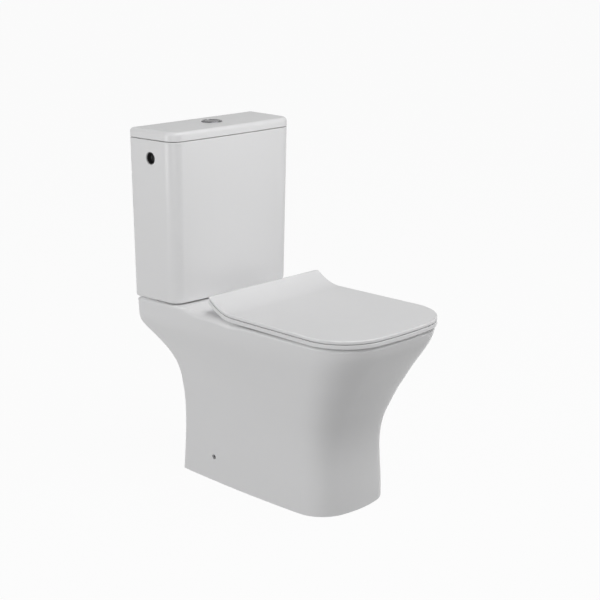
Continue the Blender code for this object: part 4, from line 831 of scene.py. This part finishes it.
# ---------------------------------------------------------------- CAD nodes that stay
def smooth_group():
    """Geometry nodes that weld a faceted solid and shade its round faces smooth."""
    group = bpy.data.node_groups.new("smooth_round_faces", "GeometryNodeTree")
    group.interface.new_socket("Geometry", in_out="INPUT", socket_type="NodeSocketGeometry")
    group.interface.new_socket("Geometry", in_out="OUTPUT", socket_type="NodeSocketGeometry")
    nodes, links = group.nodes, group.links
    start, end = nodes.new("NodeGroupInput"), nodes.new("NodeGroupOutput")
    weld = nodes.new("GeometryNodeMergeByDistance")
    weld.inputs["Distance"].default_value = 0.00001
    faces = nodes.new("GeometryNodeSetShadeSmooth")
    edges = nodes.new("GeometryNodeSetShadeSmooth")
    edges.domain = "EDGE"
    edges.inputs["Shade Smooth"].default_value = False
    angle = nodes.new("GeometryNodeInputMeshEdgeAngle")
    sharp = nodes.new("FunctionNodeCompare")
    sharp.operation = "GREATER_THAN"
    sharp.inputs["B"].default_value = math.radians(38)
    links.new(start.outputs[0], weld.inputs["Geometry"])
    links.new(weld.outputs["Geometry"], faces.inputs["Geometry"])
    links.new(faces.outputs["Geometry"], edges.inputs["Geometry"])
    links.new(angle.outputs["Unsigned Angle"], sharp.inputs["A"])
    links.new(sharp.outputs["Result"], edges.inputs["Selection"])
    links.new(edges.outputs["Geometry"], end.inputs[0])
    return group


def dress_cad_nodes():
    group = smooth_group()
    # The side screws come in the black_plastic slot: painted shade, their black standing in for the shade inside
    # open fixing holes
    slots = {s["node"]: s["material_slot"] for s in frame["record"]["subparts"]}
    for name, node in frame["nodes"].items():
        if node.hide_render:
            continue
        node.data.materials.clear()
        node.data.materials.append(BY_SLOT[slots[name]])
        node.modifiers.new("smooth", "NODES").node_group = group


make_pan()
make_tank()
make_cistern_lid()
make_ring()
make_seat_lid()
make_button()
make_plugs()
make_posts()
dress_cad_nodes()

# ---------------------------------------------------------------- floor, lights, camera
PALE = (1.0, 1.0, 1.0, 1.0)
BACKDROP = (0.972, 0.972, 0.972, 1.0)
BACKDROP_GLEAM = 0.62           # the backdrop as the glaze mirrors it
SKY_LOW = 0.28                  # soft light from below, as a pale floor throws up
SKY_HIGH = 0.0
SKY_BAND = 0.3                  # the change from low to high spans this much on each side of level
FLOOR_HALF = 45.0
FLOOR_GLOW = 0.958
MIDDLE = (CAD_LOW + CAD_HIGH) / 2
# name, azimuth, elevation, distance, size of the square, watts
SOFT_BOXES = (("left_box", -115, 8, 3.2, 1.8, 38),
              ("camera_box", -50, 8, 4.2, 2.36, 47),
              ("front_top_box", -20, 60, 3.2, 1.8, 30),
              ("right_top_box", 40, 60, 3.2, 1.8, 44),
              ("right_box", 40, 8, 3.2, 1.8, 16))
CAMERA_AIM = Vector((0.03966, 0.01803, 0.42175))
CAMERA_FROM = (-45.7053, 15.2093)
CAMERA_DISTANCE = 3.2053
CAMERA_LENS = 85.838


def seen_from(azimuth, elevation):
    """Unit vector towards a viewer; azimuth 0 is the front and grows towards +X, degrees."""
    azimuth, elevation = math.radians(azimuth), math.radians(elevation)
    return Vector((math.sin(azimuth) * math.cos(elevation), -math.cos(azimuth) * math.cos(elevation),
                   math.sin(elevation)))


def background(tree, colour, strength=1.0):
    shader = tree.nodes.new("ShaderNodeBackground")
    shader.inputs["Color"].default_value = colour
    shader.inputs["Strength"].default_value = strength
    return shader


def choose(tree, chosen_by, otherwise, chosen):
    """Mix two world shaders by what kind of ray arrives."""
    mix = tree.nodes.new("ShaderNodeMixShader")
    tree.links.new(chosen_by, mix.inputs["Fac"])
    tree.links.new(otherwise, mix.inputs[1])
    tree.links.new(chosen, mix.inputs[2])
    return mix.outputs["Shader"]


def make_world():
    """Pale to the camera, dimmer in reflections, and light only from below for the rest."""
    world = bpy.data.worlds.new("studio")
    world.use_nodes = True
    tree = world.node_tree
    tree.nodes.remove(tree.nodes["Background"])
    sky = background(tree, PALE)
    direction = tree.nodes.new("ShaderNodeTexCoord")
    height = tree.nodes.new("ShaderNodeSeparateXYZ")
    tree.links.new(direction.outputs["Generated"], height.inputs["Vector"])
    rise = tree.nodes.new("ShaderNodeMapRange")
    rise.interpolation_type = "SMOOTHSTEP"
    rise.inputs["From Min"].default_value = -SKY_BAND
    rise.inputs["From Max"].default_value = SKY_BAND
    rise.inputs["To Min"].default_value = SKY_LOW
    rise.inputs["To Max"].default_value = SKY_HIGH
    tree.links.new(height.outputs["Z"], rise.inputs["Value"])
    tree.links.new(rise.outputs["Result"], sky.inputs["Strength"])
    seen = background(tree, BACKDROP)
    gleam = background(tree, PALE, BACKDROP_GLEAM)
    path = tree.nodes.new("ShaderNodeLightPath")
    unseen = choose(tree, path.outputs["Is Glossy Ray"], sky.outputs[0], gleam.outputs[0])
    whole = choose(tree, path.outputs["Is Camera Ray"], unseen, seen.outputs[0])
    tree.links.new(whole, tree.nodes["World Output"].inputs["Surface"])
    return world


def make_floor():
    floor = block("studio_floor", (-FLOOR_HALF, -FLOOR_HALF, -0.02), (FLOOR_HALF, FLOOR_HALF, -0.0002))
    paper = bpy.data.materials.new("floor_paper")
    paper.use_nodes = True
    paint = paper.node_tree.nodes["Principled BSDF"]
    paint.inputs["Base Color"].default_value = (0.02, 0.02, 0.02, 1.0)
    paint.inputs["Roughness"].default_value = 0.9
    paint.inputs["Specular IOR Level"].default_value = 0.0
    paint.inputs["Emission Color"].default_value = PALE
    paint.inputs["Emission Strength"].default_value = FLOOR_GLOW
    floor.data.materials.append(paper)
    floor.visible_diffuse = False


def area_light(name, place, aim, size, power):
    data = bpy.data.lights.new(name, "AREA")
    data.shape = "RECTANGLE"
    data.size = size
    data.size_y = size
    data.energy = power
    light = bpy.data.objects.new(name, data)
    light.location = place
    light.rotation_euler = (aim - place).to_track_quat("-Z", "Y").to_euler()
    bpy.context.scene.collection.objects.link(light)


def make_camera():
    camera = bpy.data.objects.new("camera", bpy.data.cameras.new("camera"))
    camera.data.sensor_width = 36.0
    camera.data.lens = CAMERA_LENS
    back = seen_from(*CAMERA_FROM)
    camera.location = CAMERA_AIM + back * CAMERA_DISTANCE
    camera.rotation_euler = back.to_track_quat("Z", "Y").to_euler()
    bpy.context.scene.collection.objects.link(camera)
    return camera


scene = bpy.context.scene
scene.view_settings.view_transform = "Standard"
scene.world = make_world()
make_floor()
for name, azimuth, elevation, distance, size, power in SOFT_BOXES:
    area_light(name, MIDDLE + seen_from(azimuth, elevation) * distance, MIDDLE, size, power)
scene.camera = make_camera()
